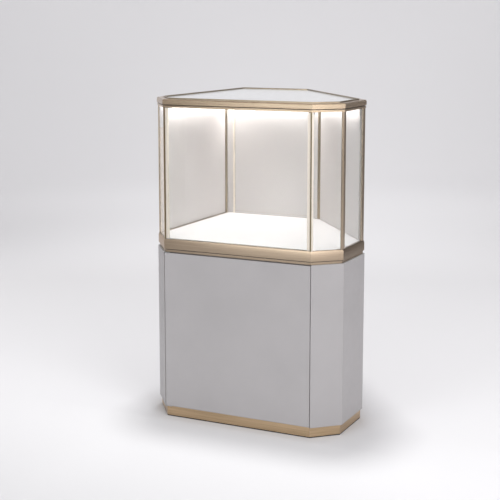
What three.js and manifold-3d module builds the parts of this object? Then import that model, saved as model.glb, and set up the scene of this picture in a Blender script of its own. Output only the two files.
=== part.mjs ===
import * as THREE from "three";
import { mergeVertices } from "three/addons/utils/BufferGeometryUtils.js";
import Module from "manifold-3d";

const wasm = await Module();
wasm.setup();

// Plan of the cabinet, seen from above with the front along -Y
const overallDepth = 900;
const frontWidth = 640;
const leftCornerRun = 100;
const leftCornerDepth = 128;
const rightCornerRun = 97;
const rightCornerDepth = 92;
const rightSideDepth = 228;
const backWidth = 368;
const overallWidth = leftCornerRun + frontWidth + rightCornerRun;

// Heights above the floor
const overallHeight = 1300;
const plinthHeight = 42;
const baseTopLevel = 684;

// Clearances shared by every joint between pieces
const seatGap = 0.3;
const cutOverrun = 1;

// Plinth, a folded sheet ring set back from the panels
const plinthInset = 8;
const plinthFlange = 20;
const plinthSheet = 2;

// Base carcass boards
const boardThickness = 18;
const shelfHeight = 360;
const shelfThickness = 16;
const shelfSideGap = 2;
const shelfFrontInset = 60;
const railLeg = 16;
const railSheet = 2;
const railSetback = 30;

// Base door and its corner pivots
const baseDoorThickness = 20;
const baseDoorSeam = 3;
const baseDoorEdgeGap = 0.5;
const baseDoorBackGap = 2;
const basePivotOffset = 6;
const basePivotRadius = 2.5;
const basePivotPinLength = 9;
const basePivotPlateWidth = 28;
const basePivotPlateDepth = 42;
const basePivotPlateThickness = 2.5;
const basePivotPlateInset = 1.2;
const baseBushLength = 24;
const baseBushDepth = 10.5;
const baseBushThickness = 3;
const baseBushEdge = 1.5;

// Push latches, one behind each door
const latchTravel = 3;
const latchPlungerGrip = 11;
const baseLatchWidth = 16;
const baseLatchHeight = 14;
const baseLatchLength = 42;
const baseLatchPlungerRadius = 3;
const baseLatchFromEdge = 60;
const strikeSize = 18;
const strikeThickness = 1.5;
const displayLatchWidth = 12;
const displayLatchHeight = 10;
const displayLatchLength = 28;
const displayLatchPlungerRadius = 2.2;

// Deck frame between base and display
const deckLipInset = 7;
const deckLipHeight = 9.7;
const deckGrooveInset = 12;
const deckGrooveHeight = 3;
const deckBandInset = 1.75;
const deckBandHeight = 32;
const deckBevelHeight = 8;
const deckRimWidth = 17.5;
const deckLedgeWidth = 18;
const deckPanelThickness = 16;

// Corner posts, walls and fixed panes of the display
const postInset = 4.8;
const postDepth = 10;
const slimLeg = 5;
const narrowLeg = 8;
const postLeg = 12;
const broadLeg = 18;
const wideLeg = 25;
const wallThickness = 10;
const leftWallThickness = 6;
const diagonalWallThickness = 22;
const paneThickness = 6;
const paneSeat = 4;
const bayDepth = 160;
const fillerWidth = 42;
const trimStem = 3;
const trimFlange = 11;
const trimThickness = 2;
const beadLeg = 8;
const beadEase = 3;

// Display door, a pane between two channel stiles
const stileWidth = 10.5;
const stileDepth = 12;
const stileWall = 1.5;
const stileGap = 2.2;
const stileGrip = 3.3;
const displayDoorEdgeGap = 0.7;
const displayPivotOffset = 4.5;
const displayPivotRadius = 1.5;
const displayPivotPinLength = 8;
const displayPivotPlateThickness = 1.5;
const displayPivotPlateLength = 26;
const displayPivotPlateInset = 1;
const displayPivotPlateDepth = 10;
const displayBushHeight = 15;

// Top frame, its glazing bead and the top panel
const beadHeight = 4.3;
const beadWidth = 6;
const beadCrown = 1.6;
const topBevelHeight = 4.4;
const topBandHeight = 16.5;
const topGrooveHeight = 3.3;
const topLipHeight = 8.2;
const topLipInset = 3;
const topGrooveInset = 8;
const topBandInset = 0.75;
const topBevelInset = 4.5;
const topRimWidth = 25.5;
const topLedgeWidth = 15;
const topPanelThickness = 7.5;
const railDepth = 50;
const railOverhang = 10;

// Light runs recessed in the top frame
const channelWidth = 12;
const channelHeight = 9;
const channelWall = 1.5;
const channelFromWall = 4;
const channelEndSetback = 24;
const frontChannelSetback = 5;
const diffuserThickness = 1.6;
const diffuserRecess = 0.5;
const lightTapeThickness = 1.2;

// Driver, its lead and the gland in the rear bay
const driverLength = 160;
const driverHeight = 42;
const driverDepth = 30;
const driverEase = 4;
const driverAboveDeck = 73;
const driverFromLeft = 150;
const leadRadius = 2.5;
const leadFromWall = 4.5;
const leadSeat = 6;
const glandRadius = 6;
const glandFlangeRadius = 10.5;
const glandFlangeThickness = 3.6;
const glandFlangeEase = 1;
const glandNutRadius = 9.5;
const glandNutThickness = 6;
const glandBoreRadius = 3.2;
const glandFromLeft = 120;
const glandAboveDeck = 63;

// Counts of facets
const pinFacets = 24;
const glandFacets = 36;

// Levels worked out from the sizes above
const baseBottomLevel = plinthHeight + seatGap;
const baseFloorTopLevel = baseBottomLevel + boardThickness;
const baseLidLevel = baseTopLevel - boardThickness;
const deckBottomLevel = baseTopLevel + seatGap;
const deckBandLevel = deckBottomLevel + deckLipHeight + deckGrooveHeight;
const deckTopLevel = deckBandLevel + deckBandHeight + deckBevelHeight;
const deckPanelTopLevel = deckTopLevel - seatGap;
const deckPanelLevel = deckPanelTopLevel - deckPanelThickness;
const beadLevel = overallHeight - beadHeight;
const topFrameTopLevel = beadLevel - seatGap;
const topBandTopLevel = topFrameTopLevel - topBevelHeight;
const topBandLevel = topBandTopLevel - topBandHeight;
const topLipLevel = topBandLevel - topGrooveHeight;
const topFrameLevel = topLipLevel - topLipHeight;
const topPanelLevel = topFrameTopLevel - seatGap - topPanelThickness;
const displayBottomLevel = deckTopLevel + seatGap;
const displayTopLevel = topFrameLevel - seatGap;

// Insets worked out from the sizes above
const deckBevelInset = postInset - seatGap;
const deckRimInset = deckBevelInset + deckRimWidth;
const deckInnerInset = deckRimInset + deckLedgeWidth;
const topRimInset = topBevelInset + topRimWidth;
const topInnerInset = topRimInset + topLedgeWidth;
const paneInset = postInset + (postDepth - paneThickness) / 2;
const rearFaceInset = postInset + wallThickness;
const leftFaceInset = postInset + leftWallThickness;
const diagonalFaceInset = postInset + diagonalWallThickness;
const bayFaceInset = bayDepth + wallThickness;
const baseBoardFrontInset = baseDoorThickness + baseDoorBackGap;

// Outline of the plan, counter-clockwise from the front end of the left side
const leftX = -overallWidth / 2;
const rightX = overallWidth / 2;
const frontY = -overallDepth / 2;
const backY = overallDepth / 2;
const corners = [
  new THREE.Vector2(leftX, frontY + leftCornerDepth),
  new THREE.Vector2(leftX + leftCornerRun, frontY),
  new THREE.Vector2(rightX - rightCornerRun, frontY),
  new THREE.Vector2(rightX, frontY + rightCornerDepth),
  new THREE.Vector2(rightX, frontY + rightCornerDepth + rightSideDepth),
  new THREE.Vector2(leftX + backWidth, backY),
  new THREE.Vector2(leftX, backY),
];

// Each edge, and the corner where it starts, by place in the outline
const leftCornerIndex = 0;
const frontIndex = 1;
const rightCornerIndex = 2;
const rightSideIndex = 3;
const diagonalIndex = 4;
const backIndex = 5;
const leftSideIndex = 6;

// Colours and surface values
const finishes = {
  bronze: { color: 0x8f7f63, roughness: 0.34, metalness: 0.9 },
  gold: { color: 0xcdb78d, roughness: 0.28, metalness: 0.95 },
  baseBoard: { color: 0xa9a5a4, roughness: 0.5, metalness: 0 },
  innerBoard: { color: 0xb9b5b2, roughness: 0.6, metalness: 0 },
  wallBoard: { color: 0xd2ccc6, roughness: 0.5, metalness: 0 },
  deckBoard: { color: 0xf2f1ef, roughness: 0.4, metalness: 0 },
  topBoard: { color: 0xdedee2, roughness: 0.35, metalness: 0 },
  darkMetal: { color: 0x4d473c, roughness: 0.4, metalness: 0.8 },
  steel: { color: 0xb4b6b8, roughness: 0.35, metalness: 0.9 },
  pane: { color: 0xd9e2df, roughness: 0.03, metalness: 0, transparent: true, opacity: 0.25 },
  whitePlastic: { color: 0xf4f2ec, roughness: 0.45, metalness: 0 },
  greyPlastic: { color: 0x6f7072, roughness: 0.5, metalness: 0 },
  blackPlastic: { color: 0x242424, roughness: 0.55, metalness: 0 },
  light: { color: 0xfffaf0, roughness: 0.4, metalness: 0, emissive: 0xfff4e0 },
};

// Lines of the plan
function cornerAfter(edge) {
  return (edge + 1) % corners.length;
}

function edgeDirection(edge) {
  return corners[cornerAfter(edge)].clone().sub(corners[edge]).normalize();
}

function leftOf(direction) {
  return new THREE.Vector2(-direction.y, direction.x);
}

function shifted(line, distance) {
  const point = line.point.clone().addScaledVector(leftOf(line.direction), distance);
  return { point, direction: line.direction };
}

function edgeLine(edge, inset) {
  return shifted({ point: corners[edge], direction: edgeDirection(edge) }, inset);
}

function meet(first, second) {
  const across = second.point.clone().sub(first.point);
  const turn = first.direction.cross(second.direction);
  const along = across.cross(second.direction) / turn;
  return first.point.clone().addScaledVector(first.direction, along);
}

function edgeBefore(corner) {
  return (corner + corners.length - 1) % corners.length;
}

function insetOutline(inset) {
  return corners.map((corner, index) => meet(edgeLine(edgeBefore(index), inset), edgeLine(index, inset)));
}

function mitreLine(corner) {
  const direction = edgeDirection(corner).sub(edgeDirection(edgeBefore(corner))).normalize();
  return { point: corners[corner], direction };
}

// The cut that starts or ends the board of an edge on a mitre
function mitredStart(edge) {
  return shifted(mitreLine(edge), -seatGap / 2);
}

function mitredEnd(edge) {
  return shifted(mitreLine(cornerAfter(edge)), seatGap / 2);
}

// A cut square to the front, through one of its ends
function squareToFront(corner) {
  return { point: corners[corner], direction: new THREE.Vector2(0, 1) };
}

function postTip(corner) {
  return meet(edgeLine(edgeBefore(corner), postInset), edgeLine(corner, postInset));
}

// Cuts square to the edge that leaves a post, or that arrives at it
function cutAfterPost(corner, distance) {
  const direction = edgeDirection(corner);
  const point = postTip(corner).addScaledVector(direction, distance);
  return { point, direction: leftOf(direction) };
}

function cutBeforePost(corner, distance) {
  const direction = edgeDirection(edgeBefore(corner));
  const point = postTip(corner).addScaledVector(direction, -distance);
  return { point, direction: leftOf(direction) };
}

function boardOutline(edge, outerInset, innerInset, startCut, endCut) {
  const outer = edgeLine(edge, outerInset);
  const inner = edgeLine(edge, innerInset);
  return [meet(outer, startCut), meet(outer, endCut), meet(inner, endCut), meet(inner, startCut)];
}

function rectangle(x0, y0, x1, y1) {
  return [
    new THREE.Vector2(x0, y0),
    new THREE.Vector2(x1, y0),
    new THREE.Vector2(x1, y1),
    new THREE.Vector2(x0, y1),
  ];
}

// Solids
function prism(outline, bottom, top) {
  const shape = new THREE.Shape(outline);
  const geometry = new THREE.ExtrudeGeometry(shape, { depth: top - bottom, bevelEnabled: false });
  geometry.translate(0, 0, bottom);
  return geometry;
}

function bareMesh(geometry) {
  const bare = geometry.clone();
  bare.deleteAttribute("normal");
  bare.deleteAttribute("uv");
  return mergeVertices(bare);
}

function solidOf(geometry) {
  const bare = bareMesh(geometry);
  const vertProperties = new Float32Array(bare.attributes.position.array);
  const triVerts = new Uint32Array(bare.index.array);
  return new wasm.Manifold(new wasm.Mesh({ numProp: 3, vertProperties, triVerts }));
}

function geometryOf(solid) {
  const mesh = solid.getMesh();
  const geometry = new THREE.BufferGeometry();
  geometry.setAttribute("position", new THREE.BufferAttribute(new Float32Array(mesh.vertProperties), 3));
  geometry.setIndex(new THREE.BufferAttribute(new Uint32Array(mesh.triVerts), 1));
  geometry.computeVertexNormals();
  return geometry;
}

function cut(geometry, tools) {
  const solid = tools.reduce((rest, tool) => rest.subtract(solidOf(tool)), solidOf(geometry));
  return geometryOf(solid);
}

function join(geometries) {
  const [first, ...others] = geometries.map(solidOf);
  return geometryOf(others.reduce((whole, other) => whole.add(other), first));
}

function uprightPin(point, radius, bottom, top) {
  const geometry = new THREE.CylinderGeometry(radius, radius, top - bottom, pinFacets);
  geometry.rotateX(Math.PI / 2);
  geometry.translate(point.x, point.y, (bottom + top) / 2);
  return geometry;
}

function levelPin(x, z, radius, front, back) {
  const geometry = new THREE.CylinderGeometry(radius, radius, back - front, pinFacets);
  geometry.translate(x, (front + back) / 2, z);
  return geometry;
}

function signedVolume(positions, triangles) {
  let volume = 0;
  for (const [a, b, c] of triangles) {
    volume += positions[a].dot(positions[b].clone().cross(positions[c]));
  }
  return volume;
}

// A profile of insets and levels carried through stations, each one point per profile point
function profiledRun(profile, stations, closed) {
  const count = profile.length;
  const positions = stations.flatMap((station) =>
    station.map((point, index) => new THREE.Vector3(point.x, point.y, profile[index][1])),
  );
  const triangles = [];
  const spans = closed ? stations.length : stations.length - 1;
  for (let span = 0; span < spans; span += 1) {
    const here = span * count;
    const there = ((span + 1) % stations.length) * count;
    for (let index = 0; index < count; index += 1) {
      const next = (index + 1) % count;
      triangles.push([here + index, there + index, there + next]);
      triangles.push([here + index, there + next, here + next]);
    }
  }
  if (!closed) {
    const section = profile.map(([inset, level]) => new THREE.Vector2(inset, level));
    const last = (stations.length - 1) * count;
    const turned = THREE.ShapeUtils.isClockWise(section);
    for (const [a, b, c] of THREE.ShapeUtils.triangulateShape(section, [])) {
      triangles.push(turned ? [a, c, b] : [a, b, c]);
      triangles.push(turned ? [last + a, last + b, last + c] : [last + a, last + c, last + b]);
    }
  }
  return closedMesh(positions, triangles);
}

function closedMesh(positions, triangles) {
  const facingOut = signedVolume(positions, triangles) > 0;
  const ordered = triangles.map(([a, b, c]) => (facingOut ? [a, b, c] : [a, c, b]));
  const geometry = new THREE.BufferGeometry();
  geometry.setFromPoints(positions);
  geometry.setIndex(ordered.flat());
  geometry.computeVertexNormals();
  return geometry;
}

function outlineRing(profile) {
  const outlines = profile.map(([inset]) => insetOutline(inset));
  const stations = corners.map((corner, index) => outlines.map((outline) => outline[index]));
  return profiledRun(profile, stations, true);
}

// A run along a chain of plan lines, from one end cut to the other
function lineRun(profile, lines, startCut, endCut) {
  const first = profile.map(([inset]) => meet(shifted(lines[0], inset), startCut));
  const middle = lines.slice(1).map((line, index) =>
    profile.map(([inset]) => meet(shifted(lines[index], inset), shifted(line, inset))),
  );
  const last = profile.map(([inset]) => meet(shifted(lines[lines.length - 1], inset), endCut));
  return profiledRun(profile, [first, ...middle, last], false);
}

// Groups and pieces
const cabinet = new THREE.Group();

function subassembly(name) {
  const group = new THREE.Group();
  group.name = name;
  cabinet.add(group);
  return group;
}

function addPiece(group, name, geometry, finish) {
  const mesh = new THREE.Mesh(geometry, new THREE.MeshStandardMaterial(finishes[finish]));
  mesh.name = name;
  group.add(mesh);
}

// Plinth
function addPlinth(group) {
  const innerInset = plinthInset + plinthFlange;
  const webInset = plinthInset + plinthSheet;
  const profile = [
    [plinthInset, 0],
    [plinthInset, plinthHeight],
    [innerInset, plinthHeight],
    [innerInset, plinthHeight - plinthSheet],
    [webInset, plinthHeight - plinthSheet],
    [webInset, plinthSheet],
    [innerInset, plinthSheet],
    [innerInset, 0],
  ];
  addPiece(group, "plinth", outlineRing(profile), "bronze");
}

// Base carcass
function baseBoardOutline(sideInset, frontInset) {
  const insets = corners.map((corner, edge) => (edge === frontIndex ? frontInset : sideInset));
  return corners.map((corner, edge) => {
    const before = edgeBefore(edge);
    return meet(edgeLine(before, insets[before]), edgeLine(edge, insets[edge]));
  });
}

function addBasePanels(group) {
  const panels = [
    ["base_left_corner_panel", leftCornerIndex, mitredStart, squareToFront(frontIndex)],
    ["base_right_corner_panel", rightCornerIndex, squareToFront, mitredEnd(rightCornerIndex)],
    ["base_right_panel", rightSideIndex, mitredStart, mitredEnd(rightSideIndex)],
    ["base_diagonal_panel", diagonalIndex, mitredStart, mitredEnd(diagonalIndex)],
    ["base_back_panel", backIndex, mitredStart, mitredEnd(backIndex)],
    ["base_left_panel", leftSideIndex, mitredStart, mitredEnd(leftSideIndex)],
  ];
  for (const [name, edge, startAt, endCut] of panels) {
    const startCut = startAt(edge);
    const outline = boardOutline(edge, 0, boardThickness, startCut, endCut);
    addPiece(group, name, prism(outline, baseBottomLevel, baseTopLevel), "baseBoard");
  }
}

function addBaseBoards(group) {
  const outline = baseBoardOutline(boardThickness + seatGap, baseBoardFrontInset);
  const floor = cut(prism(outline, baseBottomLevel, baseFloorTopLevel), [basePivotPocket(false)]);
  const lid = cut(prism(outline, baseLidLevel, baseTopLevel), [basePivotPocket(true)]);
  addPiece(group, "base_floor", floor, "innerBoard");
  addPiece(group, "base_top", lid, "innerBoard");
}

function addBaseShelf(group) {
  const outline = baseBoardOutline(boardThickness + shelfSideGap, shelfFrontInset);
  const shelf = prism(outline, shelfHeight, shelfHeight + shelfThickness);
  addPiece(group, "base_shelf", shelf, "innerBoard");
}

function addShelfRails(group) {
  const face = boardThickness + seatGap;
  const top = shelfHeight - seatGap;
  const profile = [
    [face, top],
    [face, top - railLeg],
    [face + railSheet, top - railLeg],
    [face + railSheet, top - railSheet],
    [face + railLeg, top - railSheet],
    [face + railLeg, top],
  ];
  const runs = [
    ["shelf_rail_left", leftSideIndex],
    ["shelf_rail_diagonal", diagonalIndex],
  ];
  const setback = face + railLeg + railSetback;
  for (const [name, edge] of runs) {
    const startCut = cutPastStart(edge, setback);
    const endCut = cutBeforeEnd(edge, setback);
    addPiece(group, name, lineRun(profile, [edgeLine(edge, 0)], startCut, endCut), "steel");
  }
}

function cutPastStart(edge, distance) {
  const direction = edgeDirection(edge);
  return { point: corners[edge].clone().addScaledVector(direction, distance), direction: leftOf(direction) };
}

function cutBeforeEnd(edge, distance) {
  const direction = edgeDirection(edge);
  const point = corners[cornerAfter(edge)].clone().addScaledVector(direction, -distance);
  return { point, direction: leftOf(direction) };
}

// Base door pivots
const baseDoorLeftX = corners[frontIndex].x + baseDoorSeam;
const baseDoorRightX = corners[rightCornerIndex].x - baseDoorSeam;
const baseDoorBottomLevel = baseBottomLevel + basePivotPlateThickness + baseDoorEdgeGap;
const baseDoorTopLevel = baseTopLevel - basePivotPlateThickness - baseDoorEdgeGap;
const basePivot = new THREE.Vector2(baseDoorLeftX + basePivotOffset, frontY + basePivotOffset);

function basePivotPlate(upper, margin) {
  const x0 = corners[frontIndex].x + basePivotPlateInset - margin;
  const y0 = frontY + basePivotPlateInset - margin;
  const x1 = corners[frontIndex].x + basePivotPlateInset + basePivotPlateWidth + margin;
  const y1 = frontY + basePivotPlateInset + basePivotPlateDepth + margin;
  const bottom = upper ? baseTopLevel - basePivotPlateThickness : baseBottomLevel;
  const top = bottom + basePivotPlateThickness;
  return prism(rectangle(x0, y0, x1, y1), bottom - margin, top + margin);
}

function basePivotPocket(upper) {
  return basePivotPlate(upper, seatGap);
}

function addBasePivots(group) {
  const pinBottom = baseBottomLevel + basePivotPlateThickness / 2;
  const lowerPinTop = baseDoorBottomLevel + basePivotPinLength;
  const lowerPin = uprightPin(basePivot, basePivotRadius, pinBottom, lowerPinTop);
  addPiece(group, "base_pivot_lower", join([basePivotPlate(false, 0), lowerPin]), "steel");
  const pinTop = baseTopLevel - basePivotPlateThickness / 2;
  const upperPinBottom = baseDoorTopLevel - basePivotPinLength;
  const upperPin = uprightPin(basePivot, basePivotRadius, upperPinBottom, pinTop);
  addPiece(group, "base_pivot_upper", join([basePivotPlate(true, 0), upperPin]), "steel");
}

// Base door
function baseBushBody(upper, margin) {
  const x0 = baseDoorLeftX + baseBushEdge - margin;
  const y0 = frontY + baseBushEdge - margin;
  const x1 = baseDoorLeftX + baseBushEdge + baseBushLength + margin;
  const y1 = frontY + baseBushEdge + baseBushDepth + margin;
  const bottom = upper ? baseDoorTopLevel - baseBushThickness : baseDoorBottomLevel;
  return prism(rectangle(x0, y0, x1, y1), bottom - margin, bottom + baseBushThickness + margin);
}

function basePinHole(upper) {
  const reach = basePivotPinLength + seatGap;
  const bottom = upper ? baseDoorTopLevel - reach : baseDoorBottomLevel - cutOverrun;
  const top = upper ? baseDoorTopLevel + cutOverrun : baseDoorBottomLevel + reach;
  return uprightPin(basePivot, basePivotRadius + seatGap, bottom, top);
}

function addBaseDoor(group) {
  const y1 = frontY + baseDoorThickness;
  const outline = rectangle(baseDoorLeftX, frontY, baseDoorRightX, y1);
  const slab = prism(outline, baseDoorBottomLevel, baseDoorTopLevel);
  const pockets = [false, true].flatMap((upper) => [baseBushBody(upper, seatGap), basePinHole(upper)]);
  addPiece(group, "base_door", cut(slab, pockets), "baseBoard");
  addPiece(group, "base_door_bush_lower", cut(baseBushBody(false, 0), [basePinHole(false)]), "steel");
  addPiece(group, "base_door_bush_upper", cut(baseBushBody(true, 0), [basePinHole(true)]), "steel");
}

// Push latch of the base door
const baseLatchX = corners[rightCornerIndex].x - baseLatchFromEdge;
const baseLatchZ = baseLidLevel - seatGap - baseLatchHeight / 2;
const strikeFrontY = frontY + baseDoorThickness + seatGap;
const baseLatchTipY = strikeFrontY + strikeThickness + seatGap;

function latchBody(x, z, width, height, length, tipY, plungerRadius) {
  const front = tipY + latchTravel + seatGap;
  const block = prism(
    rectangle(x - width / 2, front, x + width / 2, front + length),
    z - height / 2,
    z + height / 2,
  );
  const boreEnd = front + latchPlungerGrip + latchTravel;
  const bore = levelPin(x, z, plungerRadius + seatGap, front - cutOverrun, boreEnd);
  return cut(block, [bore]);
}

function latchPlunger(x, z, tipY, radius) {
  const back = tipY + latchTravel + seatGap + latchPlungerGrip - seatGap;
  return levelPin(x, z, radius, tipY, back);
}

function addBaseLatch(group) {
  const body = latchBody(
    baseLatchX,
    baseLatchZ,
    baseLatchWidth,
    baseLatchHeight,
    baseLatchLength,
    baseLatchTipY,
    baseLatchPlungerRadius,
  );
  addPiece(group, "base_latch_body", body, "greyPlastic");
  const plunger = latchPlunger(baseLatchX, baseLatchZ, baseLatchTipY, baseLatchPlungerRadius);
  addPiece(group, "base_latch_plunger", plunger, "blackPlastic");
  const plate = rectangle(
    baseLatchX - strikeSize / 2,
    strikeFrontY,
    baseLatchX + strikeSize / 2,
    strikeFrontY + strikeThickness,
  );
  const bottom = baseLatchZ - strikeSize / 2;
  addPiece(group, "base_strike", prism(plate, bottom, bottom + strikeSize), "steel");
}

// Deck frame and deck panel
function addDeck(group) {
  const lipTop = deckBottomLevel + deckLipHeight;
  const bandTop = deckBandLevel + deckBandHeight;
  const profile = [
    [deckLipInset, deckBottomLevel],
    [deckLipInset, lipTop],
    [deckGrooveInset, lipTop],
    [deckGrooveInset, deckBandLevel],
    [deckBandInset, deckBandLevel],
    [deckBandInset, bandTop],
    [deckBevelInset, deckTopLevel],
    [deckRimInset, deckTopLevel],
    [deckRimInset, deckPanelLevel - seatGap],
    [deckInnerInset, deckPanelLevel - seatGap],
    [deckInnerInset, deckBottomLevel],
  ];
  const frame = cut(outlineRing(profile), fixedPanes(seatGap));
  addPiece(group, "deck_frame", frame, "bronze");
  const outline = insetOutline(deckRimInset + seatGap);
  addPiece(group, "deck_panel", prism(outline, deckPanelLevel, deckPanelTopLevel), "deckBoard");
}

// The legs of each corner's post, on the edge that arrives there and on the edge that leaves
const postLegs = new Map([
  [leftCornerIndex, [postLeg, postLeg]],
  [frontIndex, [postLeg, slimLeg]],
  [rightCornerIndex, [slimLeg, narrowLeg]],
  [rightSideIndex, [narrowLeg, broadLeg]],
  [diagonalIndex, [wideLeg, postLeg]],
]);

// Fixed panes, seated in the posts and both frames
function fixedPane(edge, margin) {
  const next = cornerAfter(edge);
  const startLeg = postLegs.get(edge)[1];
  const endLeg = postLegs.get(next)[0];
  const startCut = cutAfterPost(edge, startLeg - paneSeat - margin);
  const endCut = cutBeforePost(next, endLeg - paneSeat - margin);
  const innerInset = paneInset + paneThickness + margin;
  const outline = boardOutline(edge, paneInset - margin, innerInset, startCut, endCut);
  return prism(outline, deckTopLevel - paneSeat - margin, topFrameLevel + paneSeat + margin);
}

function fixedPanes(margin) {
  return [leftCornerIndex, rightCornerIndex, rightSideIndex].map((edge) => fixedPane(edge, margin));
}

function addFixedPanes(group) {
  const names = ["pane_left_corner", "pane_right_corner", "pane_right_side"];
  fixedPanes(0).forEach((geometry, index) => addPiece(group, names[index], geometry, "pane"));
}

// Corner posts
function postOutline(corner) {
  const [legBefore, legAfter] = postLegs.get(corner);
  const before = edgeBefore(corner);
  const innerInset = postInset + postDepth;
  const endBefore = cutBeforePost(corner, legBefore);
  const endAfter = cutAfterPost(corner, legAfter);
  return [
    postTip(corner),
    endAfter.point,
    meet(edgeLine(corner, innerInset), endAfter),
    meet(edgeLine(before, innerInset), edgeLine(corner, innerInset)),
    meet(edgeLine(before, innerInset), endBefore),
    endBefore.point,
  ];
}

function addPosts(group) {
  const posts = [
    ["post_left_side", leftCornerIndex],
    ["post_left_front", frontIndex],
    ["post_right_front", rightCornerIndex],
    ["post_right_side", rightSideIndex],
    ["post_diagonal", diagonalIndex],
  ];
  for (const [name, corner] of posts) {
    const bar = prism(postOutline(corner), displayBottomLevel, displayTopLevel);
    addPiece(group, name, cut(bar, fixedPanes(seatGap)), "bronze");
  }
}

// Opaque walls of the display and of the rear bay behind it
function wallBoard(edge, faceInset, startCut, endCut) {
  const outline = boardOutline(edge, postInset, faceInset, startCut, endCut);
  return prism(outline, displayBottomLevel, displayTopLevel);
}

function addOuterWalls(group) {
  const fromPost = postLeg + seatGap;
  const diagonalStart = cutAfterPost(diagonalIndex, fromPost);
  const diagonal = wallBoard(diagonalIndex, diagonalFaceInset, diagonalStart, mitredEnd(diagonalIndex));
  addPiece(group, "diagonal_wall", diagonal, "wallBoard");
  const rear = wallBoard(backIndex, rearFaceInset, mitredStart(backIndex), mitredEnd(backIndex));
  addPiece(group, "rear_panel", cut(rear, [glandHole()]), "wallBoard");
  const leftEnd = cutBeforePost(leftCornerIndex, fromPost);
  const left = wallBoard(leftSideIndex, leftFaceInset, mitredStart(leftSideIndex), leftEnd);
  addPiece(group, "left_wall", left, "wallBoard");
}

function uprightCut(x) {
  return { point: new THREE.Vector2(x, backY), direction: new THREE.Vector2(0, 1) };
}

const trimX = leftX + leftFaceInset + fillerWidth;

function addBackWall(group) {
  const diagonalSide = edgeLine(diagonalIndex, diagonalFaceInset + seatGap);
  const leftSide = edgeLine(leftSideIndex, leftFaceInset + seatGap);
  const stemSide = trimStem / 2 + seatGap;
  const boards = [
    ["back_wall", diagonalSide, uprightCut(trimX + stemSide)],
    ["back_wall_filler", uprightCut(trimX - stemSide), leftSide],
  ];
  for (const [name, startCut, endCut] of boards) {
    const outline = boardOutline(backIndex, bayDepth, bayFaceInset, startCut, endCut);
    addPiece(group, name, prism(outline, displayBottomLevel, displayTopLevel), "wallBoard");
  }
}

function addBackWallTrim(group) {
  const stem = trimStem / 2;
  const flange = trimFlange / 2;
  const flangeBackY = backY - bayFaceInset - seatGap;
  const outline = [
    new THREE.Vector2(trimX - flange, flangeBackY),
    new THREE.Vector2(trimX - flange, flangeBackY - trimThickness),
    new THREE.Vector2(trimX + flange, flangeBackY - trimThickness),
    new THREE.Vector2(trimX + flange, flangeBackY),
    new THREE.Vector2(trimX + stem, flangeBackY),
    new THREE.Vector2(trimX + stem, backY - bayDepth),
    new THREE.Vector2(trimX - stem, backY - bayDepth),
    new THREE.Vector2(trimX - stem, flangeBackY),
  ];
  addPiece(group, "back_wall_trim", prism(outline, displayBottomLevel, displayTopLevel), "gold");
}

function addCornerBeads(group) {
  const beads = [
    ["corner_bead_left", leftSideIndex, leftFaceInset],
    ["corner_bead_right", diagonalIndex, diagonalFaceInset],
  ];
  for (const [name, edge, faceInset] of beads) {
    const side = (inset) => edgeLine(edge, faceInset + seatGap + inset);
    const far = (inset) => edgeLine(backIndex, bayFaceInset + seatGap + inset);
    const outline = [
      meet(side(0), far(0)),
      meet(side(0), far(beadLeg)),
      meet(side(beadLeg - beadEase), far(beadLeg)),
      meet(side(beadLeg), far(beadLeg - beadEase)),
      meet(side(beadLeg), far(0)),
    ];
    addPiece(group, name, prism(outline, displayBottomLevel, displayTopLevel), "darkMetal");
  }
}

// Display door
const stileLeftX = cutAfterPost(frontIndex, slimLeg + stileGap).point.x;
const stileRightX = cutBeforePost(rightCornerIndex, slimLeg + stileGap).point.x;
const stileFrontY = frontY + postInset;
const stileBackY = stileFrontY + stileDepth;
const doorPaneY = stileFrontY + (stileDepth - paneThickness) / 2;
const displayDoorBottomLevel = displayBottomLevel + displayPivotPlateThickness + displayDoorEdgeGap;
const displayDoorTopLevel = displayTopLevel - displayPivotPlateThickness - displayDoorEdgeGap;
const displayPivot = new THREE.Vector2(stileLeftX + displayPivotOffset, stileFrontY + displayPivotOffset);

// A channel open towards the pane, from its outer face at x in the given direction
function stileOutline(x, towards) {
  const outer = (distance) => x + towards * distance;
  const paneSideGap = (stileDepth - paneThickness) / 2 - seatGap;
  return [
    new THREE.Vector2(outer(0), stileFrontY),
    new THREE.Vector2(outer(stileWidth), stileFrontY),
    new THREE.Vector2(outer(stileWidth), stileFrontY + paneSideGap),
    new THREE.Vector2(outer(stileWidth - stileGrip - seatGap), stileFrontY + paneSideGap),
    new THREE.Vector2(outer(stileWidth - stileGrip - seatGap), stileFrontY + stileWall),
    new THREE.Vector2(outer(stileWall), stileFrontY + stileWall),
    new THREE.Vector2(outer(stileWall), stileBackY - stileWall),
    new THREE.Vector2(outer(stileWidth - stileGrip - seatGap), stileBackY - stileWall),
    new THREE.Vector2(outer(stileWidth - stileGrip - seatGap), stileBackY - paneSideGap),
    new THREE.Vector2(outer(stileWidth), stileBackY - paneSideGap),
    new THREE.Vector2(outer(stileWidth), stileBackY),
    new THREE.Vector2(outer(0), stileBackY),
  ];
}

function displayPinHole(upper) {
  const reach = displayPivotPinLength + seatGap;
  const bottom = upper ? displayDoorTopLevel - reach : displayDoorBottomLevel - cutOverrun;
  const top = upper ? displayDoorTopLevel + cutOverrun : displayDoorBottomLevel + reach;
  return uprightPin(displayPivot, displayPivotRadius + seatGap, bottom, top);
}

function displayBush(upper) {
  const inset = stileWall + seatGap;
  const outline = rectangle(
    stileLeftX + inset,
    stileFrontY + inset,
    stileLeftX + stileWidth - stileGrip - seatGap,
    stileBackY - inset,
  );
  const bottom = upper ? displayDoorTopLevel - displayBushHeight : displayDoorBottomLevel;
  return cut(prism(outline, bottom, bottom + displayBushHeight), [displayPinHole(upper)]);
}

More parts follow.
